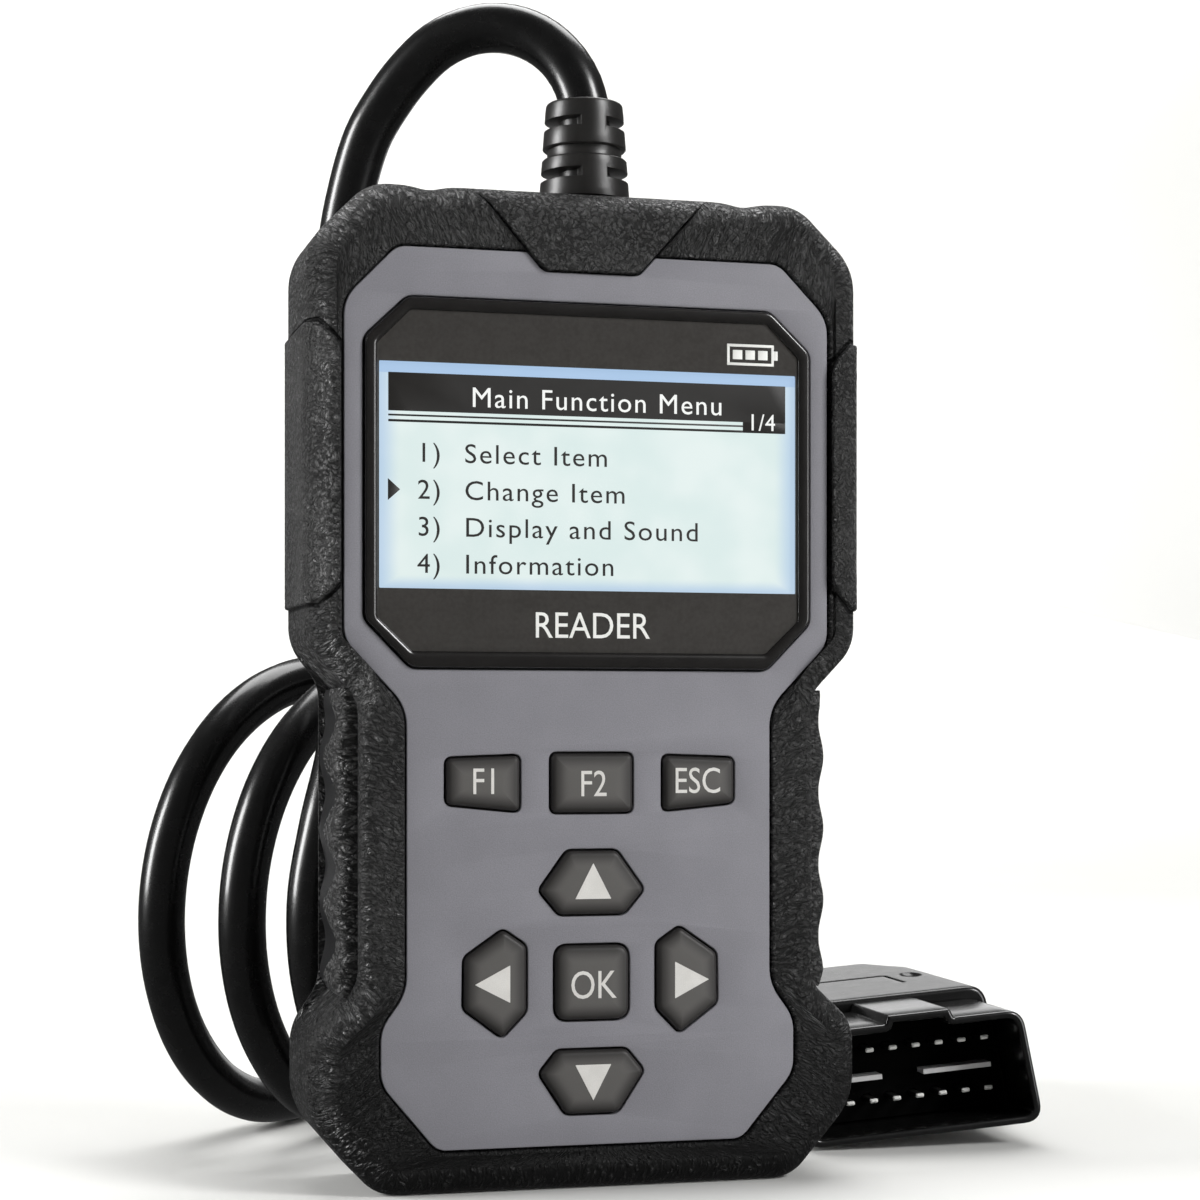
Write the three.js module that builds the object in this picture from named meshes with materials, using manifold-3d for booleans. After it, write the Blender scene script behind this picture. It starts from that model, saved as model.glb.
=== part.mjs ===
// OBD code reader: a handheld with a screen, eight keys and a rubber boot, its cable and its OBD plug.
// Millimetres, +Z up. The handheld stands on its bottom end over the origin and its front faces -Y.
// The handheld's own heights are counted from LIFT above the floor, the others from the floor.
import * as THREE from 'three';
import { mergeVertices } from 'three/addons/utils/BufferGeometryUtils.js';
import Module from 'manifold-3d';

const wasm = await Module();
wasm.setup();

// ---------------------------------------------------------------- driving dimensions

const GAP = 0.3; // clearance between neighbouring pieces
const HALF_DEPTH = 12.5; // the handheld is 25 thick over its side pads
const PAD_PROUD = 0.6; // the side pads stand this far out of the boot
const BOOT_FRONT = -HALF_DEPTH + PAD_PROUD;
const BOOT_ROUNDING = 4;
const LIP = 2.2; // thickness of the boot's front lip
const SHELL_FRONT = BOOT_FRONT + LIP + GAP;
const SHELL_BACK = 10.2;
const SEAM = 0; // plane where the front shell ends
const WALL = 2;
const PLATE_FRONT = BOOT_FRONT + 0.8;
const PLATE_BACK = SHELL_FRONT - GAP;
const BEZEL_FRONT = BOOT_FRONT;
const LENS_FRONT = BOOT_FRONT + 0.6;
const LENS_BACK = LENS_FRONT + 0.4;
const PANEL_FRONT = LENS_BACK + GAP;
const KEY_FRONT = BOOT_FRONT - 0.2;
const KEY_TRAVEL = 0.8;
const FLANGE = { front: PLATE_BACK + GAP, back: PLATE_BACK + GAP + 0.8, rim: 0.9 };
const MAT_FRONT = FLANGE.back + KEY_TRAVEL + 0.4;
const BOARD = { front: -5.2, back: -3.6 };

const LIFT = 1.6;
const BOTTOM_Z = -LIFT;
const TOP_Z = 146.4;
const GLAND = {
  x: 1.4, y: -1.35, holeRadius: 6.3, stemRadius: 6, foot: 139, baseRadius: 6.9, tipRadius: 5.85, tipZ: 161.5,
  core: 3.9, web: 1.95, slots: [150.2, 158], slotHalf: 0.75,
  groove: { middle: 153.7, half: 0.75, depth: 0.75 },
};

const CABLE_RADIUS = 3.75;
const FLOOR_GAP = 0.05;
const COIL_RADIUS = 36.8; // at the middle of the cable
const COIL_HEIGHT = COIL_RADIUS + CABLE_RADIUS + FLOOR_GAP;
const COIL_CENTRE = new THREE.Vector3(-10.9, 42.7, COIL_HEIGHT); // middle of the turn next to the handheld
const COIL_AXIS_ANGLE = THREE.MathUtils.degToRad(-46.6); // from +X, towards the handheld
const COIL_START = THREE.MathUtils.degToRad(160); // where the cable joins the first turn
const COIL_END = THREE.MathUtils.degToRad(990); // under the last turn
const COIL_SPACING = 12.05; // from one turn to the next
const COIL_SPREAD = 1.55; // and how quickly that grows

const PLUG = { x: 61.6, y: 11.5, roll: THREE.MathUtils.degToRad(-5), yaw: THREE.MathUtils.degToRad(-4) };
const HOOD = { depth: 20, wall: 1.3, floor: 12.5 };
const PIN = { pitch: 4, rowSpacing: 8.46, width: 1.4, thickness: 0.7, tip: 8, back: 25 };
const COVER = { front: HOOD.depth + GAP, back: 72, wall: 2 };

// Corners are [x, z, rounding]: the rounding starts that far from the corner, on both sides of it.
// A half outline runs down the right side and mirrored() closes it.
const BOOT_HALF = [
  [33, TOP_Z, 3], [42.2, 137.3, 4], [42.2, 79.2, 3], [37.6, 73.5, 2.5],
  [37.6, 28, 2.5], [42, 21.8, 3], [42, 10, 4], [32, BOTTOM_Z, 3],
];
const SHELL_HALF = [
  [32, 142.2, 2], [39.7, 134.6, 3], [39.7, 81.5, 2], [31.3, 73.2, 2],
  [31.3, 27, 2], [39.2, 19, 2], [39.2, 12.6, 3], [31, 2.8, 2],
];
const PLATE_HALF = [
  [29.2, 136.9, 1.5], [37, 128.9, 2.5], [37, 79.5, 2], [27.8, 69.9, 3],
  [27.8, 28.2, 2.5], [31.6, 23, 2], [31.6, 14.9, 2], [23.3, 5, 1.5],
];
const REAR_WINDOW_HALF = [
  [24, 136.5, 3], [33, 128, 3], [33, 84, 3], [25.5, 76, 3],
  [25.5, 26, 3], [30, 20, 2.5], [30, 14, 2.5], [22, 6, 3],
];
const BEZEL_HALF = [[27.7, 129.5, 1], [34, 123.5, 1], [34, 82.6, 1], [27.2, 75.6, 1]];
const LENS_HALF = [[27.4, 128.1, 0.6], [32.6, 122.9, 0.6], [32.6, 82.7, 0.6], [27.2, 77.5, 0.6]];
const PANEL_HALF = [[32, 120.2, 0.3], [32, 87, 0.3]];
const CHEVRON_HALF = [[18.6, TOP_Z + 0.8, 0], [17.9, TOP_Z, 0], [7.2, 134.4, 0.8]];
const CHEVRON_BACK = -8.6;
const NOTCH = { from: 22, to: 26.4, back: -4, depth: 0.5 }; // dips in the top edge, at both sides
const POCKET = { inner: 33.7, outer: 46, low: 29, high: 71, rise: 5, back: 9.3, front: -8.6 };
const RIDGE = { inner: 34.6, high: 71.6, low: 28.4, rounding: 1.5 };
const GRIP = { middle: 37.5, wave: 0.6, period: 11, crest: 51.5, front: -8.3, back: 9 };
const PAD = { low: 84.7, high: 125.5, inner: 37.6, embed: 1.5, back: 11.5 };
const KEYPAD_WINDOW_HALF = [[23.6, 65, 1], [23.6, 8, 1]];

const mirroredKey = (corners) => corners.map(([x, z, rounding]) => [-x, z, rounding]).reverse();
const KEY_LEFT = [
  [-13.5, 37.1, 0.8], [-10, 34.7, 0.8], [-10, 25, 0.8],
  [-13.6, 21.3, 0.8], [-19.4, 25.6, 0.8], [-19.3, 33.1, 0.8],
];
const KEY_TOP_LEFT = [[-22, 62.3, 1], [-11, 62.7, 1], [-11, 54.5, 1], [-22, 55.6, 1]];
const KEYS = {
  key_function_left: KEY_TOP_LEFT,
  key_function_middle: mirrored([[6.2, 63, 1], [6.2, 54.3, 1]]),
  key_function_right: mirroredKey(KEY_TOP_LEFT),
  key_up: mirrored([[3.8, 48.6, 0.8], [8, 42.8, 0.8], [5, 39.2, 0.8]]),
  key_down: mirrored([[5.3, 19.1, 0.8], [8, 15.8, 0.8], [4, 9.7, 0.8]]),
  key_left: KEY_LEFT,
  key_right: mirroredKey(KEY_LEFT),
  key_ok: mirrored([[5.6, 34.6, 2], [5.6, 23.6, 2]]),
};
const SCREWS = [[-26, 121], [26, 121], [-20, 21], [20, 21]];
const LABEL_HALF = [[20, 68, 1.5], [20, 36, 1.5]];

// Plug sections, seen from its face, about the middle of the contacts.
const HOOD_HALF = [[18.2, 9.3, 3], [20.4, -9.5, 3.4]];
const COVER_HALF = [[18.9, 11.4, 3.2], [21.6, -9.9, 3.2]];
const COVER_PLAN_HALF = [[24, 20, 0], [24, 47, 4], [17, 63, 4], [14, COVER.back, 3]];

// ---------------------------------------------------------------- outlines and solids

function mirrored(half) {
  return [...half, ...half.map(([x, z, rounding]) => [-x, z, rounding]).reverse()];
}

function signedArea(corners) {
  return corners.reduce((sum, [x, z], i) => {
    const [nextX, nextZ] = corners[(i + 1) % corners.length];
    return sum + (x * nextZ - nextX * z) / 2;
  }, 0);
}

// The same outline with every side moved outwards by a distance (inwards when it is negative).
function grown(corners, distance) {
  const turn = Math.sign(signedArea(corners));
  const count = corners.length;
  const sideNormal = (i) => {
    const [x0, z0] = corners[i];
    const [x1, z1] = corners[(i + 1) % count];
    return new THREE.Vector2(z1 - z0, x0 - x1).normalize().multiplyScalar(turn);
  };
  return corners.map(([x, z, rounding], i) => {
    const before = sideNormal((i + count - 1) % count);
    const after = sideNormal(i);
    const move = before.clone().add(after).multiplyScalar(distance / (1 + before.dot(after)));
    const halfTurn = (turn * before.cross(after)) / (1 + before.dot(after));
    const moved = rounding > 0 ? Math.max(0.1, rounding + distance * halfTurn) : 0;
    return [x + move.x, z + move.y, moved];
  });
}

function outline(corners) {
  const shape = new THREE.Shape();
  const towards = (from, to, distance) => {
    const start = new THREE.Vector2(from[0], from[1]);
    const step = new THREE.Vector2(to[0], to[1]).sub(start).setLength(distance);
    return start.add(step);
  };
  corners.forEach((corner, i) => {
    const rounding = corner[2];
    const start = towards(corner, corners[(i + corners.length - 1) % corners.length], rounding);
    const end = towards(corner, corners[(i + 1) % corners.length], rounding);
    if (i === 0) shape.moveTo(start.x, start.y);
    else shape.lineTo(start.x, start.y);
    if (rounding > 0) shape.quadraticCurveTo(corner[0], corner[1], end.x, end.y);
  });
  shape.closePath();
  return shape;
}

// An outline in X and Z, filled from y = front to y = back, with its front and back edges rounded.
function slab(corners, front, back, rounding = 0, bevelSegments = 2, curveSegments = 3) {
  const geometry = new THREE.ExtrudeGeometry(outline(corners), {
    depth: back - front - 2 * rounding,
    bevelEnabled: rounding > 0,
    bevelThickness: rounding,
    bevelSize: rounding,
    bevelOffset: -rounding,
    bevelSegments,
    curveSegments,
  });
  geometry.rotateX(Math.PI / 2);
  geometry.translate(0, back - rounding, 0);
  return solid(geometry);
}

function solid(geometry) {
  geometry.deleteAttribute('normal');
  geometry.deleteAttribute('uv');
  const merged = mergeVertices(geometry, 1e-4);
  const vertProperties = new Float32Array(merged.attributes.position.array);
  const triVerts = new Uint32Array(merged.index.array);
  return new wasm.Manifold(new wasm.Mesh({ numProp: 3, vertProperties, triVerts }));
}

function block(low, high) {
  const size = high.map((value, i) => value - low[i]);
  const middle = high.map((value, i) => (value + low[i]) / 2);
  return solid(new THREE.BoxGeometry(...size).translate(...middle));
}

// A rod along Z through (x, y).
function uprightRod(radius, low, high, x = 0, y = 0, sides = 24) {
  const geometry = new THREE.CylinderGeometry(radius, radius, high - low, sides);
  geometry.rotateX(Math.PI / 2);
  return solid(geometry.translate(x, y, (low + high) / 2));
}

// A rod along Y through (x, z).
function levelRod(radius, front, back, x, z, sides = 16) {
  const geometry = new THREE.CylinderGeometry(radius, radius, back - front, sides);
  return solid(geometry.translate(x, (front + back) / 2, z));
}

// A profile of [radius, height] turned about Z.
function turned(profile, segments = 24) {
  const points = profile.map(([radius, height]) => new THREE.Vector2(radius, height));
  return solid(new THREE.LatheGeometry(points, segments).rotateX(Math.PI / 2));
}

function without(body, ...cuts) {
  return cuts.reduce((rest, cut) => rest.subtract(cut), body);
}

function finish(color, roughness, metalness = 0) {
  return new THREE.MeshStandardMaterial({ color, roughness, metalness });
}

const FINISHES = {
  rubber: finish(0x2b2a2a, 0.75),
  softTouch: finish(0x333232, 0.6),
  plate: finish(0x86858b, 0.65),
  blackPlastic: finish(0x1c1b1b, 0.4),
  darkShell: finish(0x2a2a2c, 0.55),
  keyRubber: finish(0x3f3d3b, 0.5),
  lens: finish(0x3e3c3a, 0.12),
  panel: finish(0xdfecea, 0.35),
  board: finish(0x1f5a38, 0.5),
  chip: finish(0x18181a, 0.45),
  steel: finish(0xb9bbbd, 0.3, 1),
  tin: finish(0xd8d8d4, 0.25, 1),
  cable: finish(0x151515, 0.3),
  flex: finish(0xb9702a, 0.4),
  ivory: finish(0xe4e0d2, 0.5),
  label: finish(0xc9cacb, 0.5),
};

const handheld = new THREE.Group();
const plug = new THREE.Group();
const reader = new THREE.Group();
reader.add(handheld, plug);
handheld.position.z = LIFT;

function place(name, body, material, group = handheld) {
  const found = body.getMesh();
  const geometry = new THREE.BufferGeometry();
  geometry.setAttribute('position', new THREE.BufferAttribute(new Float32Array(found.vertProperties), 3));
  geometry.setIndex(new THREE.BufferAttribute(new Uint32Array(found.triVerts), 1));
  geometry.computeVertexNormals();
  const mesh = new THREE.Mesh(geometry, material);
  mesh.name = name;
  group.add(mesh);
}

// ---------------------------------------------------------------- rubber boot and what sits in it

const bootCorners = mirrored(BOOT_HALF);
const shellCorners = mirrored(SHELL_HALF);
const plateCorners = mirrored(PLATE_HALF);

function bootBlock(extra, front, back) {
  return slab(grown(bootCorners, extra), front, back, BOOT_ROUNDING, 4, 4);
}

// The ring of the boot that a side pad takes up, on both sides at once.
function padBand(clearance) {
  const outer = bootBlock(PAD_PROUD + clearance, -HALF_DEPTH - clearance, PAD.back + clearance);
  const sunk = PAD.embed + clearance;
  const inner = bootBlock(PAD_PROUD - sunk, -HALF_DEPTH + sunk, HALF_DEPTH);
  const reach = 50;
  const band = block(
    [-reach, -reach, PAD.low - clearance],
    [reach, PAD.back + clearance, PAD.high + clearance],
  );
  const middle = PAD.inner - clearance;
  const between = block([-middle, -reach, BOTTOM_Z], [middle, reach, TOP_Z]);
  return without(outer.intersect(band), inner, between);
}

// The trapezium at the middle of the top edge, cut out of the boot and the faceplate.
function chevronPrism(clearance) {
  return slab(grown(mirrored(CHEVRON_HALF), clearance), BOOT_FRONT - 1, CHEVRON_BACK + clearance);
}

function pocketPrism(side) {
  const { inner, outer, low, high, rise } = POCKET;
  const corners = [
    [inner, high], [inner + rise, high + rise], [outer, high + rise],
    [outer, low - rise], [inner + rise, low - rise], [inner, low],
  ];
  return slab(corners.map(([x, z]) => [side * x, z, 0]), POCKET.front, POCKET.back);
}

// In front of the pocket the boot ends in a narrow rounded ridge.
function ridgeCut(side) {
  const reach = POCKET.outer - RIDGE.inner; // the ends rise at 45 degrees
  const corners = [
    [RIDGE.inner, RIDGE.high, RIDGE.rounding], [POCKET.outer, RIDGE.high + reach, 0],
    [POCKET.outer, RIDGE.low - reach, 0], [RIDGE.inner, RIDGE.low, RIDGE.rounding],
  ];
  const sided = corners.map(([x, z, rounding]) => [side * x, z, rounding]);
  return slab(sided, BOOT_FRONT - 1, POCKET.front + 0.1);
}

const glandHole = uprightRod(GLAND.holeRadius, GLAND.foot - 3, TOP_Z + 2, GLAND.x, GLAND.y);
const notches = [-1, 1].map((side) => block(
  [Math.min(side * NOTCH.from, side * NOTCH.to), BOOT_FRONT - 1, TOP_Z - NOTCH.depth],
  [Math.max(side * NOTCH.from, side * NOTCH.to), NOTCH.back, TOP_Z + 1],
));

const boot = without(
  bootBlock(0, BOOT_FRONT, HALF_DEPTH),
  slab(grown(plateCorners, GAP), BOOT_FRONT - 1, SHELL_FRONT),
  slab(grown(shellCorners, GAP), SHELL_FRONT - GAP, SHELL_BACK + GAP),
  slab(mirrored(REAR_WINDOW_HALF), SHELL_BACK, HALF_DEPTH + 1),
  padBand(GAP),
  chevronPrism(GAP),
  pocketPrism(1),
  pocketPrism(-1),
  ridgeCut(1),
  ridgeCut(-1),
  glandHole,
  ...notches,
);
place('rubber_boot', boot, FINISHES.rubber);

const pads = padBand(0);
place('side_pad_right', pads.intersect(block([0, -20, 0], [60, 20, TOP_Z])), FINISHES.rubber);
place('side_pad_left', pads.intersect(block([-60, -20, 0], [0, 20, TOP_Z])), FINISHES.rubber);

const chevron = without(
  bootBlock(0, BOOT_FRONT, HALF_DEPTH).intersect(chevronPrism(0)),
  slab(grown(shellCorners, GAP), SHELL_FRONT - GAP, SHELL_BACK),
);
place('top_chevron_insert', chevron, FINISHES.softTouch);

function fingerGrip(side) {
  const inner = POCKET.inner + GAP;
  const low = POCKET.low + GAP;
  const high = POCKET.high - GAP;
  const rise = GRIP.middle - inner;
  const corners = [[inner, low, 0], [inner, high, 0]];
  const steps = 26;
  for (let i = 0; i <= steps; i += 1) {
    const z = high + rise - ((high - low + 2 * rise) * i) / steps;
    const wave = Math.cos((2 * Math.PI * (z - GRIP.crest)) / GRIP.period);
    corners.push([GRIP.middle + GRIP.wave * wave, z, 0]);
  }
  return slab(corners.map(([x, z]) => [side * x, z, 0]), GRIP.front, GRIP.back);
}
const gripRounding = bootBlock(1, BOOT_FRONT + 3.2, HALF_DEPTH);
place('finger_grip_left', fingerGrip(-1).intersect(gripRounding), FINISHES.softTouch);
place('finger_grip_right', fingerGrip(1).intersect(gripRounding), FINISHES.softTouch);

// ---------------------------------------------------------------- shells, faceplate and screws

const cavity = grown(shellCorners, -WALL);
const frontShell = without(
  slab(shellCorners, SHELL_FRONT, SEAM),
  slab(cavity, SHELL_FRONT + WALL, SEAM + 1),
  slab(grown(mirrored(PANEL_HALF), GAP), SHELL_FRONT - 1, SHELL_FRONT + WALL + 1),
  slab(mirrored(KEYPAD_WINDOW_HALF), SHELL_FRONT - 1, SHELL_FRONT + WALL + 1),
  glandHole,
);
place('front_shell', frontShell, FINISHES.darkShell);

const SCREW = { head: 2.6, shank: 1.2, headDepth: 1.6, sunk: 0.3, inner: 4.5 };
const screwHoles = SCREWS.flatMap(([x, z]) => [
  levelRod(SCREW.head + GAP, HALF_DEPTH - SCREW.headDepth - SCREW.sunk - GAP, HALF_DEPTH + 1, x, z),
  levelRod(SCREW.shank + GAP, SEAM, HALF_DEPTH, x, z, 12),
]);
const LABEL = { depth: 0.5, proud: 0.1 };
const rearShell = without(
  slab(shellCorners, SEAM + GAP, SHELL_BACK).add(
    slab(grown(mirrored(REAR_WINDOW_HALF), -GAP), SHELL_BACK - 0.5, HALF_DEPTH),
  ),
  slab(cavity, SEAM, SHELL_BACK - WALL),
  slab(grown(mirrored(LABEL_HALF), GAP), HALF_DEPTH - LABEL.depth - GAP, HALF_DEPTH + 1),
  glandHole,
  ...screwHoles,
);
place('rear_shell', rearShell, FINISHES.darkShell);

const labelFront = HALF_DEPTH - LABEL.depth;
place(
  'rear_label_plate',
  slab(mirrored(LABEL_HALF), labelFront, labelFront + LABEL.depth - LABEL.proud),
  FINISHES.label,
);

SCREWS.forEach(([x, z], i) => {
  const top = HALF_DEPTH - SCREW.sunk;
  const slot = { long: 1.7, half: 0.35, depth: 0.8 };
  const body = levelRod(SCREW.head, top - SCREW.headDepth, top, x, z)
    .add(levelRod(SCREW.shank, SCREW.inner, top - 0.5, x, z, 12));
  const cross = [
    block([x - slot.long, top - slot.depth, z - slot.half], [x + slot.long, top + 1, z + slot.half]),
    block([x - slot.half, top - slot.depth, z - slot.long], [x + slot.half, top + 1, z + slot.long]),
  ];
  place(`housing_screw_${i + 1}`, without(body, ...cross), FINISHES.steel);
});

const faceplate = without(
  slab(plateCorners, PLATE_FRONT, PLATE_BACK),
  slab(grown(mirrored(BEZEL_HALF), GAP), PLATE_FRONT - 1, PLATE_BACK + 1),
  chevronPrism(GAP),
  ...Object.values(KEYS).map((corners) => slab(grown(corners, GAP), PLATE_FRONT - 1, PLATE_BACK + 1)),
);
place('faceplate', faceplate, FINISHES.plate);

// ---------------------------------------------------------------- screen

const bezel = without(
  slab(mirrored(BEZEL_HALF), BEZEL_FRONT, PLATE_BACK + 1, 0.6, 2, 2)
    .intersect(block([-40, -20, 0], [40, PLATE_BACK, TOP_Z])),
  slab(grown(mirrored(LENS_HALF), GAP), BEZEL_FRONT - 1, PLATE_BACK + 1),
);
place('screen_bezel', bezel, FINISHES.blackPlastic);
place('screen_lens', slab(mirrored(LENS_HALF), LENS_FRONT, LENS_BACK), FINISHES.lens);

const surround = without(
  slab(mirrored(LENS_HALF), PANEL_FRONT, PLATE_BACK),
  slab(grown(mirrored(PANEL_HALF), GAP), PANEL_FRONT - 1, PLATE_BACK + 1),
);
place('screen_surround', surround, FINISHES.blackPlastic);
place('lcd_panel', slab(mirrored(PANEL_HALF), PANEL_FRONT, BOARD.front - 1.2), FINISHES.panel);

// ---------------------------------------------------------------- keys

Object.entries(KEYS).forEach(([name, corners]) => {
  const cap = slab(corners, KEY_FRONT, FLANGE.back + 1, 0.4, 1, 3)
    .intersect(block([-40, -20, 0], [40, FLANGE.back, TOP_Z]));
  const rim = slab(grown(corners, FLANGE.rim), FLANGE.front, FLANGE.back, 0, 1, 3);
  place(name, cap.add(rim), FINISHES.keyRubber);
});
const matCorners = grown(mirrored(KEYPAD_WINDOW_HALF), -GAP);
place('keypad_mat', slab(matCorners, MAT_FRONT, MAT_FRONT + 0.8), FINISHES.ivory);

// ---------------------------------------------------------------- inside the shells

place('main_board', block([-28.6, BOARD.front, 7], [28.6, BOARD.back, 137.5]), FINISHES.board);

const partsFront = BOARD.back + GAP;
const CHIP_HEIGHT = 1.4;
const CHIPS = { processor_chip: [-7, 92, 14, 14], transceiver_chip: [12, 116, 9, 6] };
Object.entries(CHIPS).forEach(([name, [x, z, width, height]]) => {
  const corners = [
    [x, z, 0.4], [x + width, z, 0.4], [x + width, z + height, 0.4], [x, z + height, 0.4],
  ];
  place(name, slab(corners, partsFront, partsFront + CHIP_HEIGHT), FINISHES.chip);
});

const BUZZER = { x: -14, z: 52, radius: 5, height: 4, vent: 1 };
const buzzerBack = partsFront + BUZZER.height;
const buzzer = without(
  levelRod(BUZZER.radius, partsFront, buzzerBack, BUZZER.x, BUZZER.z),
  levelRod(BUZZER.vent, partsFront + 1, buzzerBack + 1, BUZZER.x, BUZZER.z, 12),
);
place('buzzer', buzzer, FINISHES.chip);
const SOCKET = { half: 7, height: 5, low: 126, high: 132 };
const socketBack = partsFront + SOCKET.height;
const socket = block([-SOCKET.half, partsFront, SOCKET.low], [SOCKET.half, socketBack, SOCKET.high]);
place('cable_socket', socket, FINISHES.ivory);
const FLEX = { half: 9, off: 0.7, thickness: 0.3, low: 78, high: 86.3 };
const flexBack = BOARD.front - FLEX.off;
const flex = block([-FLEX.half, flexBack - FLEX.thickness, FLEX.low], [FLEX.half, flexBack, FLEX.high]);
place('display_flex', flex, FINISHES.flex);

// ---------------------------------------------------------------- cable gland

function glandBody() {
  const { stemRadius, foot, baseRadius, tipRadius, tipZ, web, slotHalf, groove } = GLAND;
  const collarZ = TOP_Z + GAP;
  const radiusAt = (z) => THREE.MathUtils.mapLinear(z, collarZ, tipZ, baseRadius, tipRadius);
  const low = groove.middle - groove.half;
  const high = groove.middle + groove.half;
  const rim = 0.4;
  const profile = [
    [0, foot], [stemRadius, foot], [stemRadius, collarZ], [baseRadius, collarZ],
    [radiusAt(low), low], [radiusAt(low) - groove.depth, low],
    [radiusAt(high) - groove.depth, high], [radiusAt(high), high],
    [tipRadius, tipZ - rim], [tipRadius - rim, tipZ], [0, tipZ],
  ];
  const reach = 10;
  const slots = GLAND.slots.flatMap((z) => [-1, 1].map((side) => block(
    [Math.min(side * web, side * reach), -reach, z - slotHalf],
    [Math.max(side * web, side * reach), reach, z + slotHalf],
  )));
  return without(turned(profile), ...slots).add(uprightRod(GLAND.core, foot, tipZ));
}
place('cable_gland', glandBody().translate([GLAND.x, GLAND.y, 0]), FINISHES.blackPlastic);

// ---------------------------------------------------------------- cable

const coilAxis = new THREE.Vector3(Math.cos(COIL_AXIS_ANGLE), Math.sin(COIL_AXIS_ANGLE), 0);
const coilSide = new THREE.Vector3(-coilAxis.y, coilAxis.x, 0);

// How far a turn has moved along the coil's axis: the turns spread as they leave the handheld.
function coilAdvance(angle) {
  const turns = (angle - Math.PI) / (2 * Math.PI);
  return -(COIL_SPACING * turns + COIL_SPREAD * turns * turns);
}

function coilPoint(angle) {
  return COIL_CENTRE.clone()
    .addScaledVector(coilAxis, coilAdvance(angle))
    .addScaledVector(coilSide, COIL_RADIUS * Math.cos(angle))
    .add(new THREE.Vector3(0, 0, COIL_RADIUS * Math.sin(angle)));
}

// Outer shape of the wound turns: a ring about the coil's axis whose ends are as round as the cable.
function coilRing(extra) {
  const radius = CABLE_RADIUS + extra;
  const near = coilAdvance(COIL_START);
  const far = coilAdvance(COIL_END);
  const endSteps = 6;
  const profile = [];
  [[near, 0], [far, Math.PI]].forEach(([middle, start]) => {
    for (let i = 0; i <= endSteps; i += 1) {
      const angle = start + (Math.PI * i) / endSteps;
      const out = COIL_RADIUS + radius * Math.cos(angle);
      profile.push(new THREE.Vector2(out, middle + radius * Math.sin(angle)));
    }
  });
  profile.push(profile[0].clone());
  const geometry = new THREE.LatheGeometry(profile, 40);
  const turn = new THREE.Quaternion().setFromUnitVectors(new THREE.Vector3(0, 1, 0), coilAxis);
  geometry.applyQuaternion(turn);
  return solid(geometry.translate(COIL_CENTRE.x, COIL_CENTRE.y, COIL_CENTRE.z));
}

function cableTube(points, steps) {
  const sides = 10;
  const section = new THREE.Shape(Array.from({ length: sides }, (_, i) => {
    const angle = (2 * Math.PI * i) / sides;
    return new THREE.Vector2(CABLE_RADIUS * Math.cos(angle), CABLE_RADIUS * Math.sin(angle));
  }));
  const extrudePath = new THREE.CatmullRomCurve3(points, false, 'centripetal');
  return solid(new THREE.ExtrudeGeometry(section, { steps, extrudePath, bevelEnabled: false }));
}

// From the gland in an arch to the left, then down behind the handheld to the coil.
const DOWN_ROUTE = [
  [1.5, -1.46, 162.4], [1.3, -1.35, 163.4], [0.54, -0.92, 166.27], [-1.18, 0.07, 169.73],
  [-3.94, 1.65, 172.89], [-7.37, 3.61, 175.02], [-11.18, 5.79, 175.94], [-15.06, 8.02, 175.59],
  [-19.07, 10.31, 173.74], [-23.03, 12.58, 169.87], [-26.33, 14.47, 165.24], [-29.03, 16.02, 160.12],
  [-31.6, 18.4, 150], [-33, 19.6, 139.6], [-34, 20.3, 125.6], [-33.6, 20.8, 109.6], [-32, 21.5, 93.6],
  [-31.2, 22.3, 79], [-32.3, 22.3, 65],
].map(([x, y, z]) => new THREE.Vector3(x, y, z));
// From under the last turn along the floor and round to the back of the plug.
const PLUG_ROUTE = [
  [-30.9, 72.6, 3.9], [-21, 83.6, 3.9], [-7, 99.3, 3.9], [5, 112.8, 3.9], [15.8, 122, 3.9],
  [28.4, 127.7, 3.9], [41.6, 129, 4], [52.6, 126.9, 4.6], [61.2, 121.9, 6], [66.6, 114.6, 8.2],
  [68.2, 106.4, 10.4], [67.9, 100.7, 11.4], [67.64, 97.9, 11.5],
].map(([x, y, z]) => new THREE.Vector3(x, y, z));

const coilClearance = coilRing(GAP);
const joinAngle = COIL_START + 0.12;
const downTube = cableTube([...DOWN_ROUTE, coilPoint(COIL_START), coilPoint(joinAngle)], 30);
const plugTube = cableTube([coilPoint(COIL_END - 0.05), coilPoint(COIL_END), ...PLUG_ROUTE], 22);
const aboveGland = downTube.trimByPlane([0, 0, 1], LIFT + GLAND.tipZ + GAP);
place('cable_from_gland', aboveGland.subtract(coilClearance), FINISHES.cable, reader);
place('cable_coil', coilRing(0), FINISHES.cable, reader);
place('cable_to_plug', plugTube.subtract(coilClearance), FINISHES.cable, reader);

// ---------------------------------------------------------------- plug, made about its own face

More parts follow.
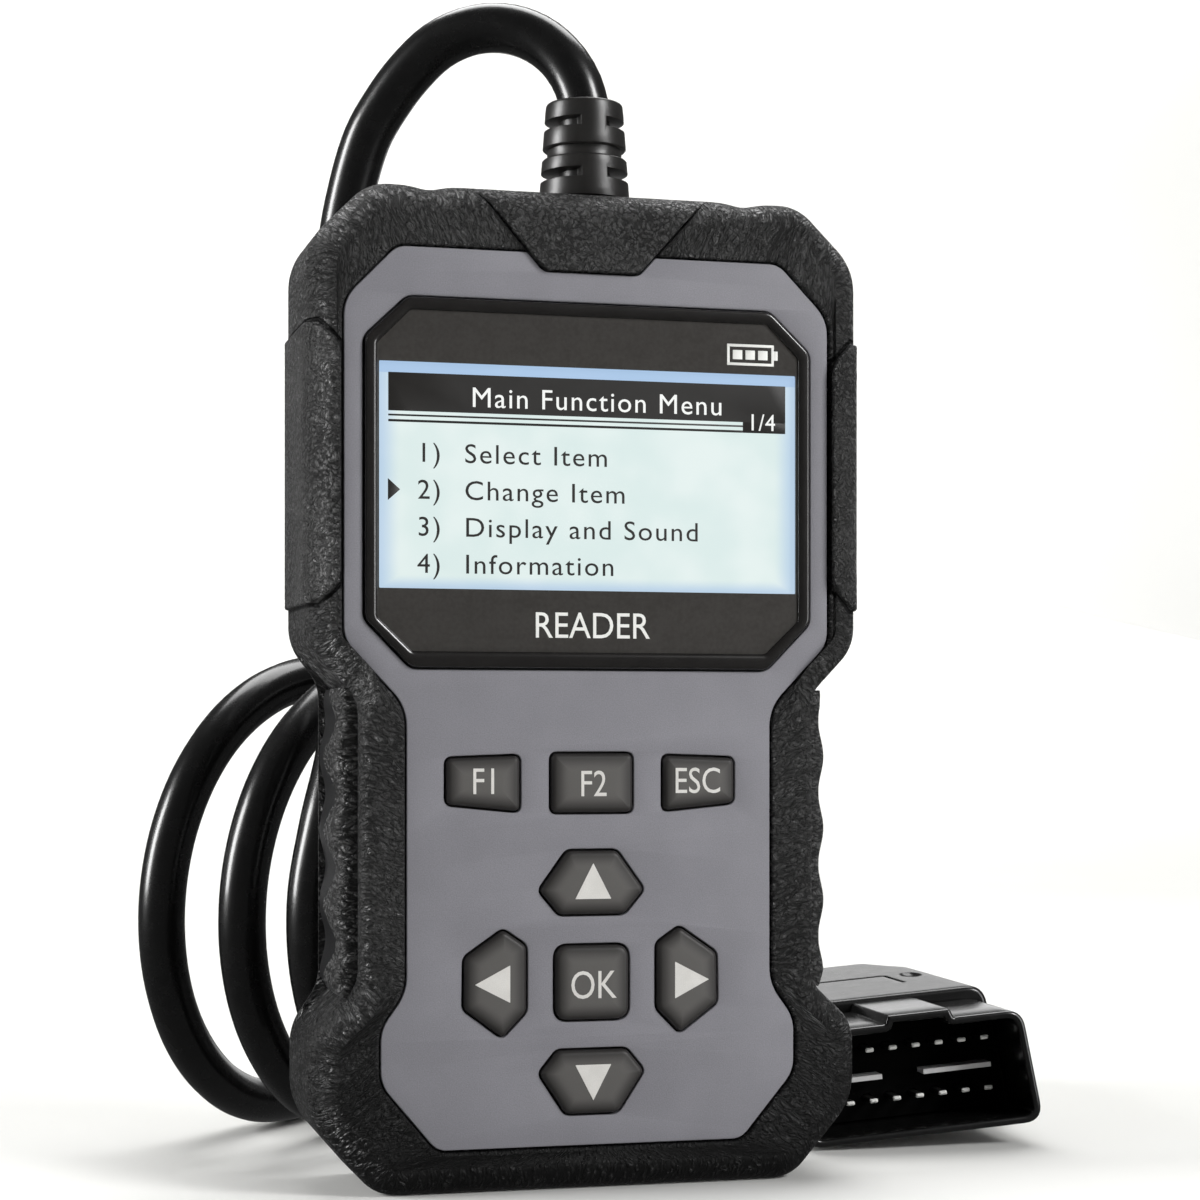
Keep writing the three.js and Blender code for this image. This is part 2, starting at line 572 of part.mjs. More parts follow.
const hoodCorners = mirrored(HOOD_HALF);
const KEY_TAB = { middle: 0.5, halfWidth: 5.3, foot: 6.2, rise: 1.4 };
const hoodTop = HOOD_HALF[0][1];
const tabCorners = [
  [KEY_TAB.middle - KEY_TAB.halfWidth, hoodTop + KEY_TAB.rise, 0.4],
  [KEY_TAB.middle + KEY_TAB.halfWidth, hoodTop + KEY_TAB.rise, 0.4],
  [KEY_TAB.middle + KEY_TAB.foot, hoodTop - 1, 0],
  [KEY_TAB.middle - KEY_TAB.foot, hoodTop - 1, 0],
];
const hoodInside = grown(hoodCorners, -HOOD.wall);
const hood = without(
  slab(hoodCorners, 0, HOOD.depth, 0, 1, 4).add(slab(tabCorners, 0, HOOD.depth)),
  slab(hoodInside, -1, HOOD.depth + 1, 0, 1, 4),
  slab(grown(tabCorners, -HOOD.wall), -1, HOOD.depth + 1),
);
place('plug_hood', hood, FINISHES.blackPlastic, plug);

const CONTACTS = [1, -1].flatMap((row) => Array.from({ length: 8 }, (_, column) => ({
  x: (column - 3.5) * PIN.pitch,
  z: (row * PIN.rowSpacing) / 2,
})));
const contactCorners = ({ x, z }) => [
  [x - PIN.width / 2, z - PIN.thickness / 2, 0.15], [x + PIN.width / 2, z - PIN.thickness / 2, 0.15],
  [x + PIN.width / 2, z + PIN.thickness / 2, 0.15], [x - PIN.width / 2, z + PIN.thickness / 2, 0.15],
];
const RIBS = [[-15.5, -4], [3.2, 15]];
const RIB = { low: -0.9, high: -0.1, front: PIN.tip + 1 };
const ribs = RIBS.map(([from, to]) => block([from, RIB.front, RIB.low], [to, HOOD.floor + 1, RIB.high]));
const insulatorCorners = grown(hoodInside, -GAP);
const insulator = without(
  ribs.reduce((body, rib) => body.add(rib), slab(insulatorCorners, HOOD.floor, PIN.back - 1, 0, 1, 3)),
  ...CONTACTS.map((contact) => slab(grown(contactCorners(contact), GAP), 0, PIN.back + 1, 0, 1, 1)),
);
place('plug_insulator', insulator, FINISHES.blackPlastic, plug);

CONTACTS.forEach((contact, i) => {
  place(
    `contact_${String(i + 1).padStart(2, '0')}`,
    slab(contactCorners(contact), PIN.tip, PIN.back, 0.25, 1, 1),
    FINISHES.tin,
    plug,
  );
});

// The body of the plug, narrowing to the cable, seen from above as an outline in X and Y.
function planPrism(corners) {
  const depth = 40;
  const geometry = new THREE.ExtrudeGeometry(outline(corners), {
    depth, bevelEnabled: false, curveSegments: 3,
  });
  return solid(geometry.translate(0, 0, -depth / 2));
}

const coverCorners = mirrored(COVER_HALF);
const coverPlan = mirrored(COVER_PLAN_HALF);
const coverSolid = slab(coverCorners, COVER.front, COVER.back, 0.8, 2, 4).intersect(planPrism(coverPlan));
const coverHollow = slab(grown(coverCorners, -COVER.wall), COVER.front + COVER.wall, COVER.back - COVER.wall)
  .intersect(planPrism(grown(coverPlan, -COVER.wall)));
const coverMouth = slab(grown(insulatorCorners, GAP), COVER.front - 1, COVER.front + COVER.wall + 1);
const RELIEF = {
  hole: 4.6, stem: 4.3, foot: 3, base: 6.6, tip: 5, length: 14, rings: 4, ringShare: 0.7, groove: 1,
};
const reliefHole = levelRod(RELIEF.hole, COVER.back - COVER.wall - 2, COVER.back + 1, 0, 0, 20);

const coverTop = COVER_HALF[0][1];
const COVER_LINE = {
  inner: [[-9.3, 30, 0], [-9.3, 47, 0], [9.3, 47, 0], [9.3, 30, 0]], nearest: 35, width: 0.8, depth: 0.6,
};
// A shallow line cut in the top cover: across, then forwards at both ends.
function coverGroove() {
  const { width, depth, nearest } = COVER_LINE;
  const band = planPrism(grown(COVER_LINE.inner, width)).subtract(planPrism(COVER_LINE.inner));
  return band.intersect(block([-30, nearest, coverTop - depth], [30, COVER.back, coverTop + 1]));
}
const DIMPLE = {
  x: 13.6, y: 45, profile: [[0, -0.8], [1.8, -0.4], [2.6, 1], [0, 1]], stretch: [0.85, 1.7, 1],
};
const dimple = turned(DIMPLE.profile, 16).scale(DIMPLE.stretch).translate([DIMPLE.x, DIMPLE.y, coverTop]);
const shell = without(coverSolid, coverHollow, coverMouth, reliefHole);
const topHalf = block([-40, 0, GAP / 2], [40, 90, 40]);
const bottomHalf = block([-40, 0, -40], [40, 90, -GAP / 2]);
const topCover = without(shell.intersect(topHalf), coverGroove(), dimple);
place('plug_cover_top', topCover, FINISHES.blackPlastic, plug);

const PLUG_SCREWS = [[-15, 45], [15, 45]];
const PLUG_SCREW = { head: 1.9, depth: 1.1, sunk: 0.2, slotLong: 1.4, slotHalf: 0.3, slotDepth: 0.3 };
const coverBottom = COVER_HALF[1][1];
const plugScrewHoles = PLUG_SCREWS.map(([x, y]) => (
  uprightRod(PLUG_SCREW.head + GAP, coverBottom - 1, coverBottom + PLUG_SCREW.depth + GAP, x, y, 16)
));
const bottomCover = without(shell.intersect(bottomHalf), ...plugScrewHoles);
place('plug_cover_bottom', bottomCover, FINISHES.blackPlastic, plug);
PLUG_SCREWS.forEach(([x, y], i) => {
  const { slotLong, slotHalf, slotDepth } = PLUG_SCREW;
  const low = coverBottom + PLUG_SCREW.sunk;
  const head = uprightRod(PLUG_SCREW.head, low, coverBottom + PLUG_SCREW.depth, x, y, 16);
  const slot = block(
    [x - slotLong, y - slotHalf, low - 1],
    [x + slotLong, y + slotHalf, low + slotDepth],
  );
  place(`plug_screw_${i + 1}`, head.subtract(slot), FINISHES.steel, plug);
});

function strainRelief() {
  const start = COVER.back + GAP;
  const { stem, foot, base, tip, length, rings, ringShare, groove } = RELIEF;
  const profile = [[0, COVER.back - foot], [stem, COVER.back - foot], [stem, start]];
  for (let i = 0; i < rings; i += 1) {
    const radius = THREE.MathUtils.lerp(base, tip, i / (rings - 1));
    const low = start + (length * i) / rings;
    const high = low + (length / rings) * ringShare;
    profile.push([radius, low], [radius, high]);
    if (i < rings - 1) profile.push([radius - groove, high], [radius - groove, low + length / rings]);
  }
  const last = start + length;
  profile.push([tip - 0.3, last], [0, last]);
  const points = profile.map(([radius, y]) => new THREE.Vector2(radius, y));
  return solid(new THREE.LatheGeometry(points, 20));
}
place('plug_strain_relief', strainRelief(), FINISHES.blackPlastic, plug);

// The plug lies on its bottom left edge, rolled a little, with its face turned towards the handheld's front.
const [cornerX, cornerZ] = COVER_HALF[1];
const cornerLoss = 0.28; // what the corner's rounding takes off its lowest point
const restHeight = cornerX * Math.sin(-PLUG.roll) - cornerZ * Math.cos(PLUG.roll) - cornerLoss + FLOOR_GAP;
plug.rotation.set(0, PLUG.roll, PLUG.yaw, 'ZYX');
plug.position.set(PLUG.x, PLUG.y, restHeight);

export default reader;
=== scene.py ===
"""Looks of an OBD code reader around its CAD model: camera, light, cord, fine pieces and materials."""

import math

import bmesh
import bpy
import numpy as np
from mathutils import Matrix, Vector


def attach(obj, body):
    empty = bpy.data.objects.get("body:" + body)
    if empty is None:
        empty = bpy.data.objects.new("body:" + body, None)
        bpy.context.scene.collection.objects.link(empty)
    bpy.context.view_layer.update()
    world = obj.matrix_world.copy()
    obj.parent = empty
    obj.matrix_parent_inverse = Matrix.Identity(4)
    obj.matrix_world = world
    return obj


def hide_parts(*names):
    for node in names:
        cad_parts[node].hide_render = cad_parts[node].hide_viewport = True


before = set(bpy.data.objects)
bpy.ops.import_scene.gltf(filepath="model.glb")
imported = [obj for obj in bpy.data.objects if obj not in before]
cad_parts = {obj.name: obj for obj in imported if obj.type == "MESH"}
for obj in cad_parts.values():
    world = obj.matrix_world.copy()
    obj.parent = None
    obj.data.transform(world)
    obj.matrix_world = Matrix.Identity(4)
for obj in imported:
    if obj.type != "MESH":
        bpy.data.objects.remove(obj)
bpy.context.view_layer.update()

MM = 0.001
BODY = "handheld"
LIFT = 1.6  # the handheld's own heights are counted from this far above the floor

# ---- camera

camera = bpy.data.objects.new("camera", bpy.data.cameras.new("camera"))
bpy.context.scene.collection.objects.link(camera)
camera.location = (-0.0961, -0.3771, 0.0666)
camera.rotation_euler = (math.radians(90), 0, math.radians(-14.9))
camera.data.lens = 76.56
camera.data.sensor_width = 36
camera.data.shift_y = 0.1167
camera.data.clip_start = 0.01
bpy.context.scene.camera = camera

# ---- outlines, in millimetres

# Corners are (x, z, rounding); a half outline runs down the right side and mirrored() closes it.
GAP = 0.3
BOOT_FRONT, BOOT_BACK = -11.9, 12.5
PLATE_FRONT, PLATE_BACK = -11.1, -9.7
UPPER = [(33, 146.4, 3), (42.2, 137.3, 4)]
LOWER = [(42, 10, 4), (32, -1.6, 3)]
BOOT_HALF = [*UPPER, (42.2, 79.2, 3), (37.6, 73.5, 2.5), (37.6, 28, 2.5), (42, 21.8, 3), *LOWER]
RIDGE_HALF = [*UPPER, (42.2, 79.2, 3), (34.6, 71.2, 3), (34.6, 28.8, 3), (42, 21.8, 3), *LOWER]
POCKET_HALF = [*UPPER, (42.2, 79.4, 2), (33.7, 70.6, 2), (33.7, 29.4, 2), (42, 21.6, 2), *LOWER]
SHELL_HALF = [
    (32, 142.2, 2), (39.7, 134.6, 3), (39.7, 81.5, 2), (31.3, 73.2, 2),
    (31.3, 27, 2), (39.2, 19, 2), (39.2, 12.6, 3), (31, 2.8, 2),
]
PLATE_HALF = [
    (29.2, 136.9, 1.5), (37, 128.9, 2.5), (37, 79.5, 2), (27.8, 69.9, 3),
    (27.8, 28.2, 2.5), (31.6, 23, 2), (31.6, 14.9, 2), (23.3, 5, 1.5),
]
REAR_WINDOW_HALF = [
    (24, 136.5, 3), (33, 128, 3), (33, 84, 3), (25.5, 76, 3),
    (25.5, 26, 3), (30, 20, 2.5), (30, 14, 2.5), (22, 6, 3),
]
BEZEL_HALF = [(27.7, 129.5, 1), (34, 123.5, 1), (34, 82.6, 1), (27.2, 75.6, 1)]
LENS_HALF = [(27.4, 128.1, 0.6), (32.6, 122.9, 0.6), (32.6, 82.7, 0.6), (27.2, 77.5, 0.6)]
PANEL_HALF = [(32, 120.2, 0.3), (32, 87, 0.3)]
BOOT_TOP, CHEVRON_LOW, CHEVRON_LOW_HALF = 146.4, 134.4, 7.2
CHEVRON_HALF = [(17.9, BOOT_TOP, 0), (CHEVRON_LOW_HALF, CHEVRON_LOW, 0.8)]
CHEVRON_SLOPE = (17.9 - CHEVRON_LOW_HALF) / (BOOT_TOP - CHEVRON_LOW)
PAD_LOW, PAD_HIGH, PAD_INNER = 84.7, 125.5, 37.6
GLAND_X, GLAND_Y = 1.4, -1.35


def flipped(corners):
    return [(-x, z, r) for x, z, r in reversed(corners)]


def mirrored(half):
    return [*half, *flipped(half)]


def grown(corners, distance):
    """The same outline with every side moved outwards by a distance."""
    sides = list(zip(corners, [*corners[1:], corners[0]]))
    area = sum(a[0] * b[1] - b[0] * a[1] for a, b in sides)
    turn = 1 if area > 0 else -1
    normals = [Vector((b[1] - a[1], a[0] - b[0])).normalized() * turn for a, b in sides]
    moved = []
    for i, (x, z, rounding) in enumerate(corners):
        before, after = normals[i - 1], normals[i]
        spread = 1 + before.dot(after)
        move = (before + after) * (distance / spread)
        half_turn = turn * (before.x * after.y - before.y * after.x) / spread
        turned = max(0.05, rounding + distance * half_turn) if rounding > 0 else 0
        moved.append((x + move.x, z + move.y, turned))
    return moved


def run_counts(corners, step):
    """How many points each straight side gets."""
    following = [*corners[1:], corners[0]]
    return [max(1, round(math.dist(a[:2], b[:2]) / step)) for a, b in zip(corners, following)]


def outline(corners, arc=6, runs=None, step=1.5):
    """Points along an outline with rounded corners. The same counts give points that correspond."""
    count = len(corners)
    runs = runs or run_counts(corners, step)
    starts, ends = [], []
    for i, (x, z, rounding) in enumerate(corners):
        here = Vector((x, z))
        back = Vector(corners[i - 1][:2]) - here
        ahead = Vector(corners[(i + 1) % count][:2]) - here
        starts.append(here + back.normalized() * min(rounding, back.length * 0.49))
        ends.append(here + ahead.normalized() * min(rounding, ahead.length * 0.49))
    points = []
    for i, (x, z, rounding) in enumerate(corners):
        here = Vector((x, z))
        if rounding > 0:
            for k in range(arc + 1):
                t = k / arc
                points.append(starts[i] * (1 - t) ** 2 + here * 2 * t * (1 - t) + ends[i] * t * t)
        else:
            points.append(here)
        following = starts[(i + 1) % count]
        for k in range(1, runs[i]):
            points.append(ends[i].lerp(following, k / runs[i]))
    return np.array([(p.x, p.y) for p in points])


def smooth(x, low, high):
    t = np.clip((np.asarray(x, float) - low) / (high - low), 0, 1)
    return t * t * (3 - 2 * t)


def blend(a, b, t):
    return a * (1 - t) + b * t


def quarter(count):
    """A quarter turn in steps, as pairs of 1 - cos, which grows, and 1 - sin, which shrinks."""
    return [(1 - math.cos(a), 1 - math.sin(a)) for a in np.linspace(0, math.pi / 2, count)]


def raised(path):
    """A path's length gone at each point, and a function that gives the place at a length, lifted off it."""
    points = np.array(path)
    gone = np.concatenate([[0], np.cumsum(np.linalg.norm(np.diff(points, axis=0), axis=1))])
    nudge = 0.25

    def at(along, part):
        return np.interp(along, gone, points[:, part])

    def place(along, lift):
        run, rise = (at(along + nudge, part) - at(along - nudge, part) for part in (0, 1))
        size = math.hypot(run, rise)
        return at(along, 0) + lift * rise / size, at(along, 1) - lift * run / size

    return gone, place


# ---- meshes


def at_mm(x, y, z):
    return Matrix.Translation((x * MM, y * MM, z * MM))


def new_object(name, data):
    made = bpy.data.objects.new(name, data)
    bpy.context.scene.collection.objects.link(made)
    return made


def tidy_mesh(mesh, angle=40):
    """Welds, turns faces outwards and shades smooth but for edges sharper than angle."""
    work = bmesh.new()
    work.from_mesh(mesh)
    bmesh.ops.remove_doubles(work, verts=work.verts, dist=1e-7)
    bmesh.ops.dissolve_degenerate(work, edges=work.edges, dist=1e-7)
    bmesh.ops.recalc_face_normals(work, faces=work.faces)
    work.to_mesh(mesh)
    work.free()
    for polygon in mesh.polygons:
        polygon.use_smooth = True
    mesh.set_sharp_from_angle(angle=math.radians(angle))
    mesh.update()


def make_mesh(name, points, faces, angle=40, attributes=None, transform=None):
    """A mesh object from points in millimetres, moved by transform."""
    mesh = bpy.data.meshes.new(name)
    mesh.from_pydata([tuple(p) for p in np.asarray(points, float) * MM], [], faces)
    for key, (kind, values) in (attributes or {}).items():
        layer = mesh.attributes.new(key, kind, "POINT")
        field = "value" if kind == "FLOAT" else "vector"
        layer.data.foreach_set(field, np.asarray(values, np.float32).ravel())
    tidy_mesh(mesh, angle)
    if transform is not None:
        mesh.transform(transform)
    return new_object(name, mesh)


def grid_faces(rings, count, closed=False):
    """Quads between rings of points; closed joins the last ring to the first."""
    faces = []
    for r in range(rings if closed else rings - 1):
        a, b = r * count, ((r + 1) % rings) * count
        for i in range(count):
            j = (i + 1) % count
            faces.append((a + i, a + j, b + j, b + i))
    return faces


def ring(points_2d, depth):
    """Outline points in X and Z at a depth, one number or one for each point."""
    flat = np.asarray(points_2d, float)
    return np.column_stack([flat[:, 0], np.broadcast_to(depth, len(flat)), flat[:, 1]])


def section(corners, out, depth, arc, runs):
    """A ring of the outline moved outwards."""
    return ring(outline(grown(corners, out), arc, runs), depth)


def cap(rings, count):
    """The end faces of rings of points."""
    return [tuple(range(count)), tuple(range((rings - 1) * count, rings * count))]


def stack(name, levels, angle=40, attributes=None):
    """Rings joined in order and capped at both ends."""
    size = len(levels), len(levels[0])
    return make_mesh(name, np.vstack(levels), grid_faces(*size) + cap(*size), angle, attributes)


def torus(name, levels, angle=40, attributes=None):
    """Rings joined in order and back to the first."""
    faces = grid_faces(len(levels), len(levels[0]), True)
    return make_mesh(name, np.vstack(levels), faces, angle, attributes)


def flat_piece(name, outlines, front, back, bevel):
    """A flat plate with holes, from outlines in X and Z."""
    curve = bpy.data.curves.new(name, "CURVE")
    curve.dimensions = "2D"
    curve.fill_mode = "BOTH"
    for points in outlines:
        spline = curve.splines.new("POLY")
        spline.points.add(len(points) - 1)
        for target, (x, z) in zip(spline.points, points):
            target.co = (x * MM, z * MM, 0, 1)
        spline.use_cyclic_u = True
    curve.extrude = ((back - front) / 2 - bevel) * MM
    curve.bevel_depth = bevel * MM
    curve.bevel_resolution = 2
    curve.offset = -bevel * MM
    source = new_object(name + "_curve", curve)
    return meshed(source, name, stand_up((front + back) / 2), 40)


def stand_up(depth):
    """Turns a flat drawing in X and Y to face the front, at a depth."""
    return Matrix.Translation((0, depth * MM, 0)) @ Matrix.Rotation(math.radians(90), 4, "X")


def meshed(source, name, transform, angle):
    """Turns a curve or text object into a mesh object."""
    graph = bpy.context.evaluated_depsgraph_get()
    mesh = bpy.data.meshes.new_from_object(source.evaluated_get(graph))
    mesh.transform(transform)
    bpy.data.objects.remove(source)
    tidy_mesh(mesh, angle)
    mesh.name = name
    return new_object(name, mesh)


def lathe(name, profile, segments, transform=None):
    """A profile of (radius, height) turned about Z; it starts and ends on the axis."""
    turns = [2 * math.pi * i / segments for i in range(segments)]
    points = [(size * math.cos(a), size * math.sin(a), height) for size, height in profile for a in turns]
    return make_mesh(name, points, grid_faces(len(profile), segments), transform=transform)


def rod(name, radius, low, high, segments, transform=None):
    return lathe(name, [(0, low), (radius, low), (radius, high), (0, high)], segments, transform)


def apply_modifiers(piece):
    graph = bpy.context.evaluated_depsgraph_get()
    mesh = bpy.data.meshes.new_from_object(piece.evaluated_get(graph))
    piece.modifiers.clear()
    piece.data = mesh


def cut(piece, *cutters):
    """Cuts solids out of a piece and applies the result."""
    for cutter in cutters:
        step = piece.modifiers.new("cut", "BOOLEAN")
        step.operation = "DIFFERENCE"
        step.solver = "EXACT"
        step.object = cutter
    apply_modifiers(piece)
    for cutter in cutters:
        bpy.data.objects.remove(cutter)
    return piece


def soften(piece, width, angle):
    """Rounds a piece's sharp edges a little and applies the result."""
    bevel = piece.modifiers.new("edges", "BEVEL")
    bevel.width = width * MM
    bevel.segments = 2
    bevel.limit_method = "ANGLE"
    bevel.angle_limit = math.radians(angle)
    apply_modifiers(piece)
    tidy_mesh(piece.data, angle)
    return piece


def box_mesh(name, low, high):
    (x0, y0, z0), (x1, y1, z1) = low, high
    points = [(x, y, z) for z in (z0, z1) for x, y in ((x0, y0), (x1, y0), (x1, y1), (x0, y1))]
    return make_mesh(name, points, cap(2, 4) + grid_faces(2, 4), 30)


def own(piece, material, slot, *nodes, body=BODY, lift=LIFT):
    """Gives a piece its height, material and body, and hides the CAD nodes that it stands for. The slot
    argument is not used.
    """
    if lift:
        piece.data.transform(at_mm(0, 0, lift))
    piece.data.materials.clear()
    piece.data.materials.append(material)
    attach(piece, body)
    if nodes:
        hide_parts(*nodes)
    return piece


# ---- materials

FIXED = {
    "metallic": "Metallic", "specular": "Specular IOR Level", "coat": "Coat Weight",
    "coat_roughness": "Coat Roughness", "roughness": "Roughness",
}


def linear(value):
    """An sRGB grey or colour from 0 to 255 as a linear colour."""
    channels = (value,) * 3 if isinstance(value, (int, float)) else value
    found = []
    for channel in channels:
        c = channel / 255
        found.append(c / 12.92 if c <= 0.04045 else ((c + 0.055) / 1.055) ** 2.4)
    return (*found, 1)


class Finish:
    """A material made of nodes: coordinates are in millimetres."""

    def __init__(self, name, **fixed):
        self.material = bpy.data.materials.new(name)
        self.material.use_nodes = True
        self.tree = self.material.node_tree
        self.shader = self.tree.nodes["Principled BSDF"]
        for key, value in fixed.items():
            self.shader.inputs[FIXED[key]].default_value = value
        place = self.tree.nodes.new("ShaderNodeTexCoord")
        self.at = self.vector("MULTIPLY", place.outputs["Object"], (1000, 1000, 1000))

    def put(self, socket, value):
        if isinstance(value, bpy.types.NodeSocket):
            self.tree.links.new(value, socket)
        else:
            socket.default_value = value

    def node(self, kind, out=0, settings=None, **inputs):
        made = self.tree.nodes.new(kind)
        for key, value in (settings or {}).items():
            setattr(made, key, value)
        for key, value in inputs.items():
            self.put(made.inputs[key.replace("_", " ")], value)
        return made.outputs[out]

    def operate(self, kind, operation, a, b):
        made = self.tree.nodes.new(kind)
        made.operation = operation
        self.put(made.inputs[0], a)
        self.put(made.inputs[1], b)
        return made.outputs[0]

    def vector(self, operation, a, b):
        return self.operate("ShaderNodeVectorMath", operation, a, b)

    def math(self, operation, a, b=0.0):
        return self.operate("ShaderNodeMath", operation, a, b)

    def add(self, a, b):
        return self.math("ADD", a, b)

    def minus(self, a, b):
        return self.math("SUBTRACT", a, b)

    def times(self, a, b):
        return self.math("MULTIPLY", a, b)

    def size(self, a):
        return self.math("ABSOLUTE", a)

    def ramp(self, value, low, high, to_low=0.0, to_high=1.0):
        return self.node(
            "ShaderNodeMapRange", settings={"interpolation_type": "SMOOTHSTEP"},
            Value=value, From_Min=low, From_Max=high, To_Min=to_low, To_Max=to_high,
        )

    def mix(self, share, a, b):
        """Colours may be given as sockets, or as greys or colours from 0 to 255."""
        made = self.tree.nodes.new("ShaderNodeMix")
        made.data_type = "RGBA"
        self.put(made.inputs["Factor"], share)
        for place, value in ((6, a), (7, b)):
            self.put(made.inputs[place], value if isinstance(value, bpy.types.NodeSocket) else linear(value))
        return made.outputs[2]

    def noise(self, scale, detail=2.0, roughness=0.5, at=None):
        return self.node(
            "ShaderNodeTexNoise", Vector=self.at if at is None else at, Scale=scale, Detail=detail,
            Roughness=roughness,
        )

    def attribute(self, name, out="Fac"):
        return self.node("ShaderNodeAttribute", out, {"attribute_name": name})

    def axes(self, vector):
        made = self.tree.nodes.new("ShaderNodeSeparateXYZ")
        self.put(made.inputs[0], vector)
        return made.outputs

    def colour(self, value):
        self.put(self.shader.inputs["Base Color"], value)

    def rough(self, value):
        self.put(self.shader.inputs["Roughness"], value)

    def specular(self, value):
        self.put(self.shader.inputs["Specular IOR Level"], value)

    def glow(self, colour, strength):
        self.put(self.shader.inputs["Emission Color"], colour)
        self.shader.inputs["Emission Strength"].default_value = strength

    def bump(self, height, depth):
        """depth in millimetres for a height from 0 to 1."""
        bump = self.node("ShaderNodeBump", Height=height, Distance=depth * MM)
        self.put(self.shader.inputs["Normal"], bump)


def wrinkles(f, at, cell):
    """Heights from 0 in the creases to about 1 on the plateaus between them; cell is plateaus per mm."""
    wander = f.node("ShaderNodeTexNoise", 1, Vector=at, Scale=0.45, Detail=2.0)
    swirl = f.vector("MULTIPLY", f.vector("SUBTRACT", wander, (0.5, 0.5, 0.5)), (2.4, 2.4, 2.4))
    bent = f.vector("ADD", at, swirl)
    pebble = f.node(
        "ShaderNodeTexVoronoi", settings={"feature": "SMOOTH_F1"}, Vector=bent, Scale=cell, Smoothness=0.25,
    )
    pebbles = f.ramp(pebble, 0.08, 0.62, 1.0, 0.0)
    ridges = f.ramp(f.size(f.minus(f.noise(cell * 0.9, 3, 0.6, bent), 0.5)), 0.0, 0.11)
    fine = f.noise(cell * 3, 2, 0.6, bent)
    height = f.times(pebbles, f.add(0.3, f.times(ridges, 0.7)))
    return f.add(f.times(height, 0.8), f.times(fine, 0.3))


def leather(name, dark, light, depth, extra=None):
    """Moulded rubber with leather-like wrinkles, which follow the skin attribute where there is extra."""
    cell, stretch, roughness = 1.55, 0.5, 0.36
    f = Finish(name)
    at = f.vector("MULTIPLY", f.attribute("skin", "Vector"), (1.0, stretch, 1.0)) if extra else f.at
    patches = f.ramp(f.noise(0.07, 2, 0.5), 0.32, 0.66, 0.7, 1.0)
    height = f.times(wrinkles(f, at, cell), patches)
    # Painted shade: the colour runs from dark in the creases to light on the plateaus; dark stands for the
    # shade in the creases.
    colour = f.mix(f.ramp(height, 0.07, 0.26), dark, light)
    if extra:
        height, colour = extra(f, height, colour)
    f.bump(height, depth)
    f.colour(colour)
    f.specular(f.ramp(height, 0.08, 0.32, 0.2, 0.75))
    f.rough(f.ramp(height, 0.08, 0.4, roughness + 0.12, roughness - 0.04))
    return f.material


def moulded(name, colour, roughness, grain=0.01, spread=5, grain_scale=7.0, **fixed):
    """Moulded plastic or painted metal: a fine grain, slight mottling and uneven gloss."""
    f = Finish(name, **fixed)
    wear = 0.06
    base = (colour,) * 3 if isinstance(colour, (int, float)) else colour
    low = tuple(max(0, c - spread) for c in base)
    high = tuple(min(255, c + spread) for c in base)
    mottle = f.noise(0.35, 4, 0.6)
    speck = f.noise(grain_scale, 2, 0.5)
    tone = f.add(f.times(mottle, 0.5), f.times(speck, 0.5))
    f.colour(f.mix(f.ramp(tone, 0.35, 0.65), low, high))
    f.rough(f.add(roughness - wear / 2, f.times(mottle, wear)))
    f.bump(speck, grain)
    return f.material


def boot_details(f, height, colour):
    """Smoother on the lower rim, with painted shade darkening the rubber towards the bottom and along a
    groove round each side pad.
    """
    x, _, z = f.axes(f.at)
    # Painted shade: the colour darkens towards the bottom of the boot.
    colour = f.mix(f.ramp(z, 0.0, 48.0, 0.9, 0.0), colour, 12)
    height = f.times(height, f.ramp(z, 1.5, 13.0, 0.3, 1.0))
    pad_middle, pad_half = LIFT + (PAD_HIGH + PAD_LOW) / 2, (PAD_HIGH - PAD_LOW) / 2
    above = f.minus(f.size(f.minus(z, pad_middle)), pad_half)
    inside = f.minus(PAD_INNER, f.size(x))
    corner = f.add(f.times(f.add(above, inside), 0.707), 2.2)
    reach = f.math("MAXIMUM", f.math("MAXIMUM", above, inside), corner)
    # The groove round each pad is a dip in the bump, and painted shade darkens its colour.
    line = f.ramp(f.size(f.minus(reach, 0.22)), 0.12, 0.38, 1.0, 0.0)
    return f.minus(height, f.times(line, 1.2)), f.mix(line, colour, 5)


RUBBER = leather("boot_rubber", 23, 64, 1.5, boot_details)
PAD_RUBBER = leather("pad_rubber", 25, 74, 1.3)
CABLE_SKIN = moulded("cable_skin", 8, 0.27, 0.003, 3, 3.0, specular=0.5, coat=0.2, coat_roughness=0.1)
GLAND_RUBBER = moulded("gland_rubber", (30, 29, 28), 0.34, 0.01, 4)
PLUG_BLACK = moulded("plug_black", 16, 0.26, 0.005, 3, 6.0)
HOOD_BLACK = moulded("hood_black", 15, 0.24, 0.004, 3, 5.0, coat=0.4, coat_roughness=0.12)
# Partly painted shade: the insulator is black plastic, but this near-black, barely reflective finish also
# stands for the shade inside the hood.
INSULATOR_BLACK = moulded("insulator_black", 2, 0.7, 0.004, 1, specular=0.05)
# Painted highlight: a pale copy of the black insulator for the lit front faces of its ribs.
RIB_PAINTED_HIGHLIGHT = moulded("rib_painted_highlight", 205, 0.3, 0.004, 6)
TIN = moulded("tin", (150, 149, 146), 0.3, 0.003, 5, metallic=1.0)
